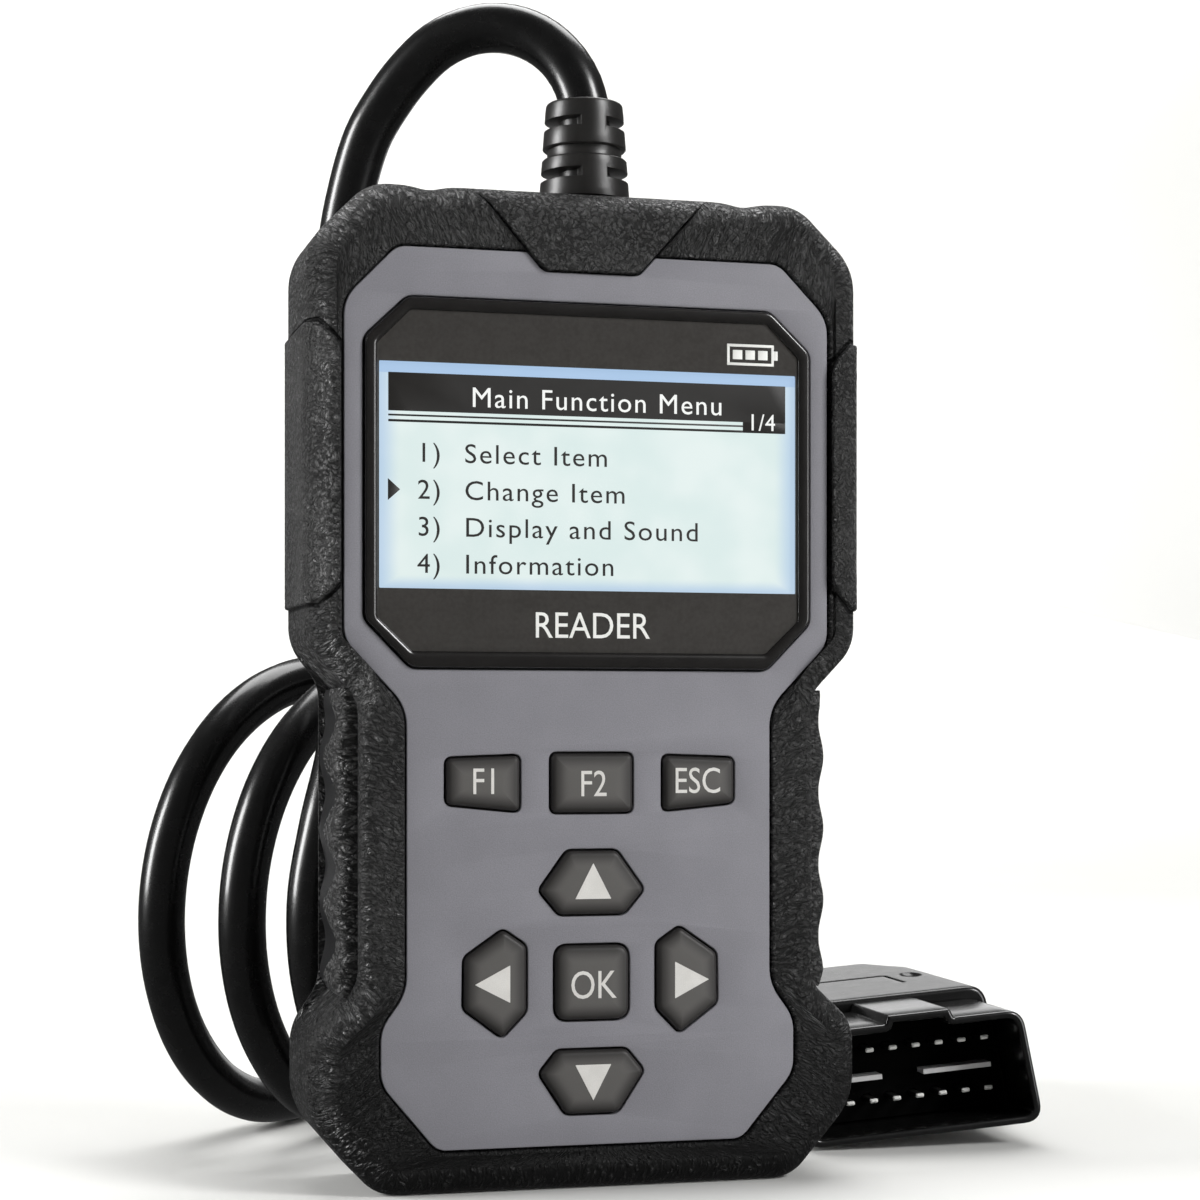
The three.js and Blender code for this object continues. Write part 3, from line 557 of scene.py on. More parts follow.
# Painted highlight: a pale copy of the tin for the lit tips of the contacts.
TIP_PAINTED_HIGHLIGHT = moulded("tip_painted_highlight", (246, 246, 242), 0.5, 0.002, 3, metallic=0.2)
STEEL = moulded("screw_steel", (186, 188, 190), 0.34, 0.006, 8, metallic=1.0)
BEZEL_BLACK = moulded("bezel_black", (24, 22, 21), 0.26, 0.003, 3, coat=0.5, coat_roughness=0.15)
SHELL_BLACK = moulded("shell_black", (40, 40, 42), 0.55, 0.04, 4, 2.6)
LABEL_GREY = moulded("label_grey", (122, 123, 126), 0.45, 0.01, 6, 9.0)
BOARD_GREEN = moulded("board_green", (34, 92, 58), 0.45, 0.01, 8)
CHIP_BLACK = moulded("chip_black", (26, 26, 28), 0.5, 0.01, 4)
IVORY = moulded("ivory", (226, 222, 208), 0.5, 0.01, 5)
FLEX_AMBER = moulded("flex_amber", (184, 112, 42), 0.4, 0.005, 8)
LENS_DARK = moulded("lens_dark", (60, 58, 56), 0.10, 0.0005, 3, 1.5, coat=0.5, coat_roughness=0.03)
PRINT_WHITE = moulded("print_white", (236, 236, 233), 0.45, 0.002, 3)
LEGEND = moulded("key_legend", (216, 214, 210), 0.5, 0.004, 6)


def plate_material():
    f = Finish("plate_grey", specular=0.4)
    speck = f.noise(5.5, 2, 0.6)
    cloud = f.noise(0.12, 3, 0.5)
    tone = f.add(f.times(speck, 0.75), f.times(cloud, 0.25))
    f.colour(f.mix(f.ramp(tone, 0.32, 0.68), (123, 122, 128), (137, 136, 143)))
    f.rough(f.ramp(speck, 0.3, 0.7, 0.5, 0.62))
    f.bump(speck, 0.02)
    return f.material


def key_material():
    """Soft rubber, with painted shade making it darker towards the rim of each key."""
    f = Finish("key_rubber", specular=0.4)
    speck = f.noise(8.0, 2, 0.6)
    # Painted shade: darker where the dome falls away towards the rim.
    colour = f.mix(f.ramp(f.attribute("inset"), 0.1, 2.6), (44, 42, 41), (94, 92, 90))
    f.colour(f.mix(f.times(speck, 0.12), colour, 30))
    f.rough(f.ramp(speck, 0.3, 0.7, 0.42, 0.55))
    f.bump(speck, 0.012)
    return f.material


def display_material():
    """The backlit panel: pale, with the backlight's blue at its edges."""
    f = Finish("display", roughness=0.35)
    x, _, z = f.axes(f.at)
    (half, high, _), (_, low, _) = PANEL_HALF
    side, bottom = f.minus(half, f.size(x)), f.minus(z, low + LIFT)
    edge_glow = f.ramp(f.math("MINIMUM", side, f.times(bottom, 1.6)), 0.2, 3.6, 0.6, 0.0)
    top_glow = f.ramp(f.minus(high + LIFT, z), 1.6, 2.0, 0.85, 0.0)
    pale = f.mix(f.ramp(f.noise(0.09, 2, 0.5), 0.35, 0.65), (217, 233, 231), (227, 239, 237))
    colour = f.mix(f.math("MAXIMUM", edge_glow, top_glow), pale, (158, 190, 228))
    f.colour(f.mix(0.93, colour, 10))
    f.glow(colour, 0.95)
    f.bump(f.noise(3.0, 2), 0.002)
    return f.material


def ink_material(name, colour, strength):
    f = Finish(name, roughness=0.5)
    tone = f.mix(f.ramp(f.noise(0.2, 2), 0.3, 0.7), colour, [c + 5 for c in colour])
    f.colour(f.mix(0.85, tone, 10))
    f.glow(tone, strength)
    return f.material


PLATE_GREY = plate_material()
KEY_RUBBER = key_material()
DISPLAY = display_material()
INK_DARK = ink_material("ink_dark", (40, 38, 36), 0.5)
INK_LIGHT = ink_material("ink_light", (238, 240, 238), 0.9)

# ---- cord

CABLE_RADIUS = 3.75
COIL_RADIUS = 36.8
COIL_CENTRE = Vector((-10.9, 42.7, COIL_RADIUS + CABLE_RADIUS + 0.05))
COIL_TURN = math.radians(-46.6)
COIL_START, COIL_END = math.radians(160), math.radians(990)
coil_axis = Vector((math.cos(COIL_TURN), math.sin(COIL_TURN), 0))
coil_side = Vector((-coil_axis.y, coil_axis.x, 0))


def coil_point(angle):
    """A point of the coil, whose turns lie further apart towards its end."""
    pitch, pitch_growth = 12.05, 1.55
    turns = (angle - math.pi) / (2 * math.pi)
    advance = -(pitch * turns + pitch_growth * turns * turns)
    across = coil_side * (COIL_RADIUS * math.cos(angle))
    return COIL_CENTRE + coil_axis * advance + across + Vector((0, 0, COIL_RADIUS * math.sin(angle)))


DOWN_ROUTE = [
    (1.5, -1.46, 162.4), (1.3, -1.35, 163.4), (0.54, -0.92, 166.27), (-1.18, 0.07, 169.73),
    (-3.94, 1.65, 172.89), (-7.37, 3.61, 175.02), (-11.18, 5.79, 175.94), (-15.06, 8.02, 175.59),
    (-19.07, 10.31, 173.74), (-23.03, 12.58, 169.87), (-26.33, 14.47, 165.24), (-29.03, 16.02, 160.12),
    (-31.6, 18.4, 150), (-33, 19.6, 139.6), (-34, 20.3, 125.6), (-33.6, 20.8, 109.6), (-32, 21.5, 93.6),
    (-31.2, 22.3, 79), (-32.3, 22.3, 65),
]
PLUG_ROUTE = [
    (-30.9, 72.6, 3.9), (-21, 83.6, 3.9), (-7, 99.3, 3.9), (5, 112.8, 3.9), (15.8, 122, 3.9),
    (28.4, 127.7, 3.9), (41.6, 129, 4), (52.6, 126.9, 4.6), (61.2, 121.9, 6), (66.6, 114.6, 8.2),
    (68.2, 106.4, 10.4), (67.9, 100.7, 11.4), (67.64, 97.9, 11.5),
]


def through(points, spacing):
    """A smooth line through points, as a centripetal Catmull-Rom spline."""
    places = [Vector(p) for p in points]
    first = places[0] * 2 - places[1]
    last = places[-1] * 2 - places[-2]
    full = [first, *places, last]
    line = []
    for i in range(len(places) - 1):
        p0, p1, p2, p3 = full[i:i + 4]
        d0, d1, d2 = (max(1e-6, (b - a).length ** 0.5) for a, b in ((p0, p1), (p1, p2), (p2, p3)))
        out = ((p1 - p0) / d0 - (p2 - p0) / (d0 + d1) + (p2 - p1) / d1) * d1
        into = ((p2 - p1) / d1 - (p3 - p1) / (d1 + d2) + (p3 - p2) / d2) * d1
        steps = max(2, round((p2 - p1).length / spacing))
        for k in range(steps):
            t = k / steps
            line.append(
                p1 * (2 * t ** 3 - 3 * t * t + 1) + out * (t ** 3 - 2 * t * t + t)
                + p2 * (3 * t * t - 2 * t ** 3) + into * (t ** 3 - t * t)
            )
    line.append(places[-1])
    return line


def make_cord():
    turns = np.linspace(COIL_START, COIL_END, 48)
    line = through([*DOWN_ROUTE, *[coil_point(a) for a in turns], *PLUG_ROUTE], 1.6)
    curve = bpy.data.curves.new("cable", "CURVE")
    curve.dimensions = "3D"
    curve.bevel_depth = CABLE_RADIUS * MM
    curve.bevel_resolution = 7
    curve.use_fill_caps = True
    spline = curve.splines.new("POLY")
    spline.points.add(len(line) - 1)
    for target, p in zip(spline.points, line):
        target.co = (*(p * MM), 1)
        target.radius = 1
    made = new_object("cable", curve)
    spline.use_smooth = True
    length = sum((b - a).length for a, b in zip(line, line[1:])) * MM
    return made, length


cable, cable_length = make_cord()
own(cable, CABLE_SKIN, "cable", "cable_from_gland", "cable_coil", "cable_to_plug", lift=0)

# ---- rubber boot


def make_boot():
    """One closed skin: front opening, lip, front band, side, back and the inside of the wall."""
    boot, ridge, pocket, shell, plate, rear = (
        mirrored(h) for h in (BOOT_HALF, RIDGE_HALF, POCKET_HALF, SHELL_HALF, PLATE_HALF, REAR_WINDOW_HALF)
    )
    runs = run_counts(boot, 0.75)

    def points(corners, out=0.0):
        return outline(grown(corners, out) if out else corners, 9, runs)

    side = points(ridge)
    waist = (smooth(side[:, 1], 27, 33) * (1 - smooth(side[:, 1], 67, 73)))[:, None]
    wide, narrow = 4.0, 1.3  # the roll from the front to the side, elsewhere and at the waist
    radius = wide + (narrow - wide) * waist[:, 0]
    levels = []

    def rim(share):
        return blend(points(ridge, -wide * share), points(ridge, -narrow * share), waist)

    def add(flat, depth):
        """One loop, with a shallow dip in the top edge on both sides of its middle."""
        dip_x, dip_width, dip_depth = 24.2, 2.4, 0.6
        flat = np.array(flat)
        dip = np.exp(-(((np.abs(flat[:, 0]) - dip_x) / dip_width) ** 2)) * smooth(flat[:, 1], 139, 146)
        flat[:, 1] -= dip_depth * dip
        levels.append(ring(flat, depth))

    # Inside the front opening and over its rounded lip.
    lip, sunk = 0.5, 0.35
    lip_front = BOOT_FRONT + sunk
    for depth in np.linspace(PLATE_BACK, lip_front + lip, 3):
        add(points(plate, GAP), depth)
    for out, into in quarter(5)[1:]:
        add(points(plate, GAP + lip * out), lip_front + lip * into)
    # The front band rises to its crest and rolls over to the side.
    inner, crest, band, hollow = points(plate, GAP + lip), rim(1), 9, 0.12
    for k in range(1, band):
        t = k / band
        sag = hollow * math.sin(math.pi * t)
        add(blend(inner, crest, t), lip_front + (BOOT_FRONT - lip_front) * smooth(t, 0, 1) + sag)
    for out, into in quarter(8):
        add(rim(into), BOOT_FRONT + radius * out)
    # Down the side: behind the ridge the waist is a pocket for the grips.
    pocket_front, pocket_back, fold = -8.6, 9.3, 0.25
    rolled_end = BOOT_FRONT + radius
    side_start = np.maximum(pocket_front, rolled_end + 0.35)
    for t in (0.4, 0.8):
        add(side, blend(rolled_end, side_start - 0.15, t))
    for t in np.linspace(0, 1, 4):
        add(blend(side, points(pocket), t), side_start - 0.1 + fold * t)
    for t in np.linspace(0, 1, 24)[1:-1]:
        add(points(pocket), blend(side_start + 0.15, pocket_back, t))
    for t in np.linspace(0, 1, 4):
        add(blend(points(pocket), points(boot), t), pocket_back - fold * (1 - t))
    # Round the back edge, over the back and into the rear opening.
    back_radius, rear_lip = 2.9, 0.5
    for out, into in quarter(8)[1:]:
        add(points(boot, -back_radius * out), BOOT_BACK - back_radius * into)
    for k in range(1, 8):
        add(blend(points(boot, -back_radius), points(rear, rear_lip), k / 8), BOOT_BACK)
    for out, into in quarter(4):
        add(points(rear, rear_lip * into), BOOT_BACK - rear_lip * out)
    add(points(rear), 10.6)
    # Back along the inside of the wall.
    for depth in np.linspace(10.5, PLATE_BACK + 0.1, 6):
        add(points(shell, GAP), depth)
    stacked = np.array(levels)
    around = np.cumsum(np.linalg.norm(np.diff(side, axis=0, prepend=side[-1:]), axis=1))
    across = np.cumsum(np.linalg.norm(np.diff(stacked, axis=0, prepend=stacked[:1]), axis=2), axis=0)
    skin = np.stack([np.broadcast_to(around, across.shape), across, np.zeros_like(across)], axis=2)
    made = torus("boot_skin", levels, 50, {"skin": ("FLOAT_VECTOR", skin)})
    hole_radius, over, play, notch_ends = 6.3, 3, 0.35, (-14, -8.9)
    hole = rod("gland_hole", hole_radius, 137, 149, 48, at_mm(GLAND_X, GLAND_Y, 0))
    (half, top, _), below = CHEVRON_HALF
    wedge = mirrored([(half + over * CHEVRON_SLOPE, top + over, 0), below])
    notch = stack("pocket", [section(wedge, play, depth, 4, None) for depth in notch_ends])
    return cut(made, hole, notch)


own(make_boot(), RUBBER, "rubber", "rubber_boot")

# ---- pieces set on the boot


def make_side_pad(side, name):
    """A thin patch wrapped round the boot's side, drawn along the boot's section and up its height."""
    side_x, start_x, roll, back_roll = 42.2, 33.0, 4.0, 2.9
    path = [(start_x, BOOT_FRONT), (side_x - roll, BOOT_FRONT)]
    path += [(side_x - roll * into, BOOT_FRONT + roll * out) for out, into in quarter(9)[1:]]
    path.append((side_x, BOOT_BACK - back_roll))
    path += [(side_x - back_roll * out, BOOT_BACK - back_roll * into) for out, into in quarter(9)[1:]]
    path.append((start_x, BOOT_BACK))
    gone, place = raised(path)
    start, end = PAD_INNER - start_x, float(gone[-1]) - 7.5
    low, high = PAD_LOW, PAD_HIGH
    corners = [(start, high - 3.2, 2.2), (start + 3.5, high, 2.6), (end, high, 0.8), (end, low, 0.8),
               (start + 3.5, low, 2.6), (start, low + 3.2, 2.2)]
    height, depth, rounding, rows = 0.55, 0.25, 0.45, 12
    runs = run_counts(corners, 0.8)
    levels = []

    def flat(inset):
        return outline(grown(corners, -inset), 6, runs)

    def add(points, lift):
        levels.append(np.array([(*place(along, lift), z) for along, z in points]) * (side, 1, 1))

    add(flat(0), -depth)
    add(flat(0), height - rounding)
    for out, into in quarter(5)[1:]:
        add(flat(rounding * out), height - rounding * into)
    top = flat(rounding)
    spine = np.column_stack([np.full(len(top), (start + end) / 2), np.clip(top[:, 1], low + 8, high - 8)])
    for k in range(1, rows + 1):
        add(blend(top, spine, k / rows), height)
    for k in range(rows, -1, -1):
        add(blend(top, spine, k / rows), -depth)
    return torus(name, levels, 50)


SIDES = ((1, "right"), (-1, "left"))
for side, way in SIDES:
    own(make_side_pad(side, f"side_pad_{way}_skin"), PAD_RUBBER, "rubber", f"side_pad_{way}")


def make_chevron():
    """The trapezium in the middle of the top edge, wrapped over it in rows from its narrow end upwards."""
    roll = 4.0
    path = [(CHEVRON_LOW - 3, BOOT_FRONT), (BOOT_TOP - roll, BOOT_FRONT)]
    path += [(BOOT_TOP - roll * into, BOOT_FRONT + roll * out) for out, into in quarter(9)[1:]]
    path.append((BOOT_TOP, 0))
    gone, place = raised(path)
    first, last = 3.0, float(gone[-1]) - 9.0
    height, depth, rounding, corner = 0.05, 2.2, 0.3, 0.8
    turns = quarter(5)
    rows = [(first + rounding * out, rounding * into) for out, into in turns]
    rows += [(float(along), 0.0) for along in np.linspace(first + 0.6, last - rounding - 0.2, 24)]
    rows += [(last - rounding * out, rounding * into) for out, into in turns[::-1]]
    levels = []
    for along, drop in rows:
        near = max(0.0, corner - (along - first))
        half = CHEVRON_LOW_HALF + CHEVRON_SLOPE * (along - first) - corner + math.sqrt(corner**2 - near**2)
        edge = [(half - rounding * out, height - rounding * into) for out, into in turns]
        middle = [(x, height) for x in np.linspace(-half + 0.9, half - 0.9, 24)]
        loop = [(-half, -depth), *[(-x, lift) for x, lift in edge], *middle, *edge[::-1], (half, -depth)]
        level = []
        for x, lift in loop:
            z, y = place(along, lift - (drop if lift > 0 else 0))
            level.append((x, y, z))
        levels.append(np.array(level))
    return stack("chevron_skin", levels, 50)


own(make_chevron(), PAD_RUBBER, "soft_touch", "top_chevron_insert")


def make_grip(side, name):
    """A side grip: textured in front, stepped down along a wavy line to a smooth scalloped back."""
    low, high, front, back = 27.4, 72.6, -8.3, 9.0
    wave_middle, wave_length = 51.5, 11
    levels, marks = [], []
    for z in np.linspace(low, high, 120):
        wave = math.cos(2 * math.pi * (z - wave_middle) / wave_length)
        inner = 34.0 + max(0.0, z - 70.7, 29.3 - z)
        fall = max(0.0, z - 69.8, 30.2 - z)
        outer = max(37.6 + 0.45 * wave - 0.18 * fall ** 1.6, inner + 0.25)
        thick = outer - inner
        edge = -1.0 + 3.0 * wave
        drop = min(0.45, thick * 0.4)
        corners = [
            (inner, front, min(0.4, thick * 0.2)), (outer, front, min(2.4, thick * 0.8)), (outer, edge, 0.2),
            (outer - drop, edge + 0.6, 0.3), (outer - drop, back, min(0.5, thick * 0.3)), (inner, back, 0.1),
        ]
        flat = outline(corners, 5, [3, 6, 2, 6, 3, 6])
        levels.append(np.column_stack([side * flat[:, 0], flat[:, 1], np.full(len(flat), z)]))
        marks.append(1 - smooth(flat[:, 1], edge - 0.3, edge + 0.7))
    return stack(name, levels, 50, {"rough_part": ("FLOAT", np.concatenate(marks))})


def grip_material():
    """Wrinkled in front of the wavy line and smooth behind it."""
    f = Finish("grip_two_tone")
    part = f.attribute("rough_part")
    rough = wrinkles(f, f.vector("MULTIPLY", f.at, (0.6, 0.6, 1.2)), 1.4)
    f.bump(f.add(f.times(rough, part), f.times(f.noise(6, 2), 0.03)), 0.8)
    # Painted shade: the wrinkled part darkens from its plateaus into the creases.
    painted_crease_shade = f.mix(f.ramp(rough, 0.08, 0.42), 18, 84)
    f.colour(f.mix(part, (30, 30, 31), painted_crease_shade))
    f.specular(f.mix(part, 150, f.ramp(rough, 0.08, 0.5, 0.2, 0.9)))
    f.rough(f.ramp(part, 0, 1, 0.36, 0.4))
    return f.material


GRIP = grip_material()
for side, way in SIDES:
    own(make_grip(side, f"finger_grip_{way}_skin"), GRIP, "soft_touch", f"finger_grip_{way}")

# ---- faceplate and keys

KEY_LEFT = [(-13.5, 37.1, 0.8), (-10, 34.7, 0.8), (-10, 25, 0.8), (-13.6, 21.3, 0.8), (-19.4, 25.6, 0.8),
            (-19.3, 33.1, 0.8)]
KEY_TOP_LEFT = [(-22, 62.3, 1), (-11, 62.7, 1), (-11, 54.5, 1), (-22, 55.6, 1)]
# node, body, outline
KEYS = [
    ("key_function_left", "left_function_key", KEY_TOP_LEFT),
    ("key_function_middle", "middle_function_key", mirrored([(6.2, 63, 1), (6.2, 54.3, 1)])),
    ("key_function_right", "right_function_key", flipped(KEY_TOP_LEFT)),
    ("key_up", "up_key", mirrored([(3.8, 48.6, 0.8), (8, 42.8, 0.8), (5, 39.2, 0.8)])),
    ("key_down", "down_key", mirrored([(5.3, 19.1, 0.8), (8, 15.8, 0.8), (4, 9.7, 0.8)])),
    ("key_left", "left_key", KEY_LEFT),
    ("key_right", "right_key", flipped(KEY_LEFT)),
    ("key_ok", "ok_key", mirrored([(5.6, 34.6, 2), (5.6, 23.6, 2)])),
]
KEY_FRONT = -12.1


def chevron_notched(corners):
    """The plate's outline with the chevron's notch in its top edge, as corners."""
    reach = GAP * math.hypot(1, CHEVRON_SLOPE)
    top, bottom = corners[0][1], CHEVRON_LOW - GAP
    wide, narrow = (CHEVRON_LOW_HALF + reach + CHEVRON_SLOPE * (z - CHEVRON_LOW) for z in (top, bottom))
    return corners + [(-wide, top, 0.2), (-narrow, bottom, 0.9), (narrow, bottom, 0.9), (wide, top, 0.2)]


def make_plate():
    plate = outline(chevron_notched(mirrored(PLATE_HALF)), 8, step=6)
    holes = [outline(grown(mirrored(BEZEL_HALF), GAP), 6, step=6)]
    holes += [outline(grown(corners, GAP), 8, step=6) for _, _, corners in KEYS]
    return flat_piece("faceplate_skin", [plate, *holes], PLATE_FRONT, PLATE_BACK, 0.16)


own(make_plate(), PLATE_GREY, "faceplate", "faceplate")


def make_key(node, body, corners):
    """A cap on a flange, rounded at its rim; the attribute says how far in from the rim a point lies."""
    flange_front, flange_back = PLATE_BACK + GAP, PLATE_BACK + GAP + 0.8
    rim_depth, dome = KEY_FRONT + 0.22, ((1.15, 0.17), (1.5, 0.11), (1.9, 0.06), (2.4, 0.02), (2.9, 0.0))
    runs = run_counts(corners, 0.8)
    rows = [(-0.9, flange_back), (-0.9, flange_front), (0, flange_front), (0, KEY_FRONT + 1.5)]
    rows += [(0.85 * out, rim_depth + 0.9 * into) for out, into in quarter(7)]
    rows += [(inset, KEY_FRONT + rise) for inset, rise in dome]
    levels = [section(corners, -inset, depth, 8, runs) for inset, depth in rows]
    insets = np.repeat([max(0.0, inset) for inset, _ in rows], len(levels[0]))
    made = stack(f"{node}_cap", levels, 50, {"inset": ("FLOAT", insets)})
    return own(made, KEY_RUBBER, "key_rubber", node, body=body)


for node, body, corners in KEYS:
    make_key(node, body, corners)

# ---- lettering and signs


def write(name, text, x, z, size, depth, material, slot, body=BODY, align="LEFT", narrow=1.0, spread=1.0):
    """Text facing the front: x and z in millimetres, size is the height of its capitals."""
    curve = bpy.data.curves.new(name, "FONT")
    curve.body = text
    curve.size = size * 1.37 * MM
    curve.align_x = align
    curve.space_character = spread
    curve.extrude = 0.015 * MM
    curve.resolution_u = 4
    source = new_object(name + "_text", curve)
    bpy.context.view_layer.update()
    place = at_mm(x, 0, z) @ stand_up(depth) @ Matrix.Diagonal((narrow, 1, 1, 1))
    return own(meshed(source, name, place, 30), material, slot, body=body)


def sign(name, corners, depth, material, slot, body=BODY, thickness=0.04, rounding=0.01):
    """A thin plate facing the front, with its outline as corners in X and Z."""
    runs = run_counts(corners, 3)
    front, back = depth - thickness / 2, depth + thickness / 2
    rows = [(rounding, front), (0, front + rounding), (0, back - rounding), (rounding, back)]
    levels = [section(corners, -inset, y, 3, runs) for inset, y in rows]
    return own(stack(name, levels), material, slot, body=body)


def bar(name, left, right, high, low, depth, material, slot):
    corners = [(left, high, 0.02), (right, high, 0.02), (right, low, 0.02), (left, low, 0.02)]
    sign(name, corners, depth, material, slot)


KEY_TOP = KEY_FRONT - 0.01
LEGENDS = [
    ("legend_function_left", "F1", -16.3, 57.1, 4.0, "left_function_key"),
    ("legend_function_middle", "F2", 0, 56.7, 4.0, "middle_function_key"),
    ("legend_function_right", "ESC", 16.1, 57.1, 4.0, "right_function_key"),
    ("legend_ok", "OK", 0, 26.8, 4.3, "ok_key"),
]
for name, text, x, z, size, body in LEGENDS:
    write(name, text, x, z, size, KEY_TOP, LEGEND, "key_rubber", body, "CENTER", 0.82)

ARROWS = [
    ("up", 0, 43.9, 0), ("down", 0, 14.6, math.pi), ("left", -15.0, 29.2, math.pi / 2),
    ("right", 15.0, 29.2, -math.pi / 2),
]
for way, x, z, turn in ARROWS:
    c, s = math.cos(turn), math.sin(turn)
    shape = [(-2.75, -2.4), (2.75, -2.4), (0, 2.9)]
    corners = [(x + c * a - s * b, z + s * a + c * b, 0.12) for a, b in shape]
    sign(f"legend_{way}", corners, KEY_TOP, LEGEND, "key_rubber", f"{way}_key", 0.05, 0.015)

# ---- screen

LENS_FRONT, LENS_BACK = -11.3, -10.9
PANEL_FRONT = -10.6


def make_bezel():
    """A rounded frame whose inner edge lies on the rim of the lens."""
    outer, inner = mirrored(BEZEL_HALF), grown(mirrored(LENS_HALF), GAP)
    over, soft_out, soft_in, inner_low = 0.75, 0.45, 0.85, LENS_FRONT - 0.02
    runs = run_counts(outer, 1.2)
    rows = [(outer, 0, PLATE_BACK), (outer, 0, BOOT_FRONT + soft_out)]
    rows += [(outer, -soft_out * out, BOOT_FRONT + soft_out * into) for out, into in quarter(6)[1:]]
    fall = inner_low - BOOT_FRONT
    rows += [(inner, -over + soft_in * into, BOOT_FRONT + fall * out) for out, into in quarter(7)]
    rows += [(inner, 0, inner_low), (inner, 0, PLATE_BACK)]
    return torus("bezel_skin", [section(corners, out, depth, 6, runs) for corners, out, depth in rows])


own(make_bezel(), BEZEL_BLACK, "black_plastic", "screen_bezel")

WINDOW = grown(mirrored(PANEL_HALF), -0.1)
LENS_OUTLINES = [outline(mirrored(LENS_HALF), 4, step=6), outline(WINDOW, 3, step=6)]
lens = flat_piece("lens_skin", LENS_OUTLINES, LENS_FRONT, LENS_BACK, 0.05)
own(lens, LENS_DARK, "lens", "screen_lens")

INK_DEPTH = PANEL_FRONT - 0.03
BAR_HALF, PAGE_LEFT, BAR_LOW, RULES_LOW = 30.45, 23.7, 112.95, 111.35
BARS = [
    ("screen_title_bar", -BAR_HALF, BAR_HALF, 118.55, BAR_LOW),
    ("screen_page_bar", PAGE_LEFT, BAR_HALF, BAR_LOW, RULES_LOW),
    ("screen_rule_1", -BAR_HALF, PAGE_LEFT, 112.47, 112.2),
    ("screen_rule_2", -BAR_HALF, PAGE_LEFT, 111.7, RULES_LOW),
]
for name, left, right, high, low in BARS:
    bar(name, left, right, high, low, INK_DEPTH, INK_DARK, "lcd")
ON_BAR = INK_DEPTH - 0.05
write("screen_title", "Main Function Menu", -18.2, 113.85, 3.05, ON_BAR, INK_LIGHT, "lcd", spread=1.12)
write("screen_page", "1/4", 24.4, 111.75, 2.6, ON_BAR, INK_LIGHT, "lcd", narrow=0.95, spread=1.05)
ROWS = ["Select Item", "Change Item", "Display and Sound", "Information"]
ROW_TOP, ROW_PITCH = 105.6, 5.4
for i, words in enumerate(ROWS):
    look = (ROW_TOP - ROW_PITCH * i, 2.95, INK_DEPTH, INK_DARK, "lcd")
    write(f"screen_number_{i + 1}", f"{i + 1})", -26.2, *look, spread=1.15)
    write(f"screen_row_{i + 1}", words, -19.2, *look, narrow=1.06, spread=1.12)
CURSOR = [(-30.5, 103.1, 0.02), (-28.7, 101.5, 0.02), (-30.5, 99.9, 0.02)]
sign("screen_cursor", CURSOR, INK_DEPTH, INK_DARK, "lcd")


def battery_sign():
    """A small charge symbol in the top corner of the lens: a frame, a terminal and three bars."""
    left, right, high, low, line = 21.0, 28.4, 124.6, 121.4, 0.4
    parts = [
        (left, right, high, high - line), (left, right, low + line, low),
        (left, left + line, high - line, low + line), (right - line, right, high - line, low + line),
        (right, right + 0.6, high - 0.9, low + 0.9),
    ]
    parts += [(left + 0.9 + 2 * i, left + 2.4 + 2 * i, high - 0.9, low + 0.9) for i in range(3)]
    for i, (x0, x1, z1, z0) in enumerate(parts):
        bar(f"lens_battery_{i + 1}", x0, x1, z1, z0, LENS_FRONT - 0.01, PRINT_WHITE, "lens")


battery_sign()
write("lens_word", "READER", 0, 80.1, 4.0, LENS_FRONT - 0.01, PRINT_WHITE, "lens", BODY, "CENTER", 0.9)

# ---- cable gland


def make_gland():
    """A tapered sleeve with one groove all round and two rows of slots on each side."""
    base_z, tip_z = 146.7, 161.5
    base_radius, tip_radius = 6.9, 5.85

    def radius(z):
        return base_radius + (tip_radius - base_radius) * (z - base_z) / (tip_z - base_z)

    low, high = 152.95, 154.45
    soft, sunk = 0.22, 0.75
    profile = [(0, 139), (5.9, 139), (6.0, 139.2), (6.0, base_z), (radius(base_z), base_z)]
    profile += [(radius(z), z) for z in np.linspace(base_z, low, 6)[1:-1]]
    profile += [(radius(low), low - soft), (radius(low) - soft, low), (radius(low) - sunk, low)]
    profile += [(radius(high) - sunk, high), (radius(high) - soft, high), (radius(high), high + soft)]
    profile += [(radius(z), z) for z in np.linspace(high, tip_z, 6)[1:-1]]
    profile += [(tip_radius - 0.5 * out, tip_z - 0.5 * into) for out, into in quarter(5)]
    profile += [(4.2, tip_z), (4.0, tip_z - 0.5), (0, tip_z - 0.5)]
    made = lathe("gland_skin", profile, 72)
    slot_heights, slot_half, web_half, core = (150.2, 158.0), 0.75, 1.95, 3.9
    for z in slot_heights:
        for side in (-1, 1):
            x0, x1 = sorted((side * web_half, side * 10))
            cutter = box_mesh("slot", (x0, -10, z - slot_half), (x1, 10, z + slot_half))
            cut(cutter, rod("core", core, z - 2, z + 2, 48))
            cut(made, cutter)
    made.data.transform(at_mm(GLAND_X, GLAND_Y, 0))
    return soften(made, 0.14, 40)


own(make_gland(), GLAND_RUBBER, "black_plastic", "cable_gland")

# ---- plug

PLUG_YAW = Matrix.Rotation(math.radians(-4), 4, "Z")
PLUG_ROLL = Matrix.Rotation(math.radians(-5), 4, "Y")
PLUG_PLACE = at_mm(61.6, 11.5, 11.515) @ PLUG_YAW @ PLUG_ROLL
HOOD_HALF = [(18.2, 9.3, 3), (20.4, -9.5, 3.4)]
COVER_HALF = [(18.9, 11.4, 3.2), (21.6, -9.9, 3.2)]
HOOD_WALL, HOOD_DEPTH = 1.3, 20
COVER_FRONT, COVER_BACK = 20.3, 72
ALONG_PLUG = Matrix.Rotation(math.radians(-90), 4, "X")


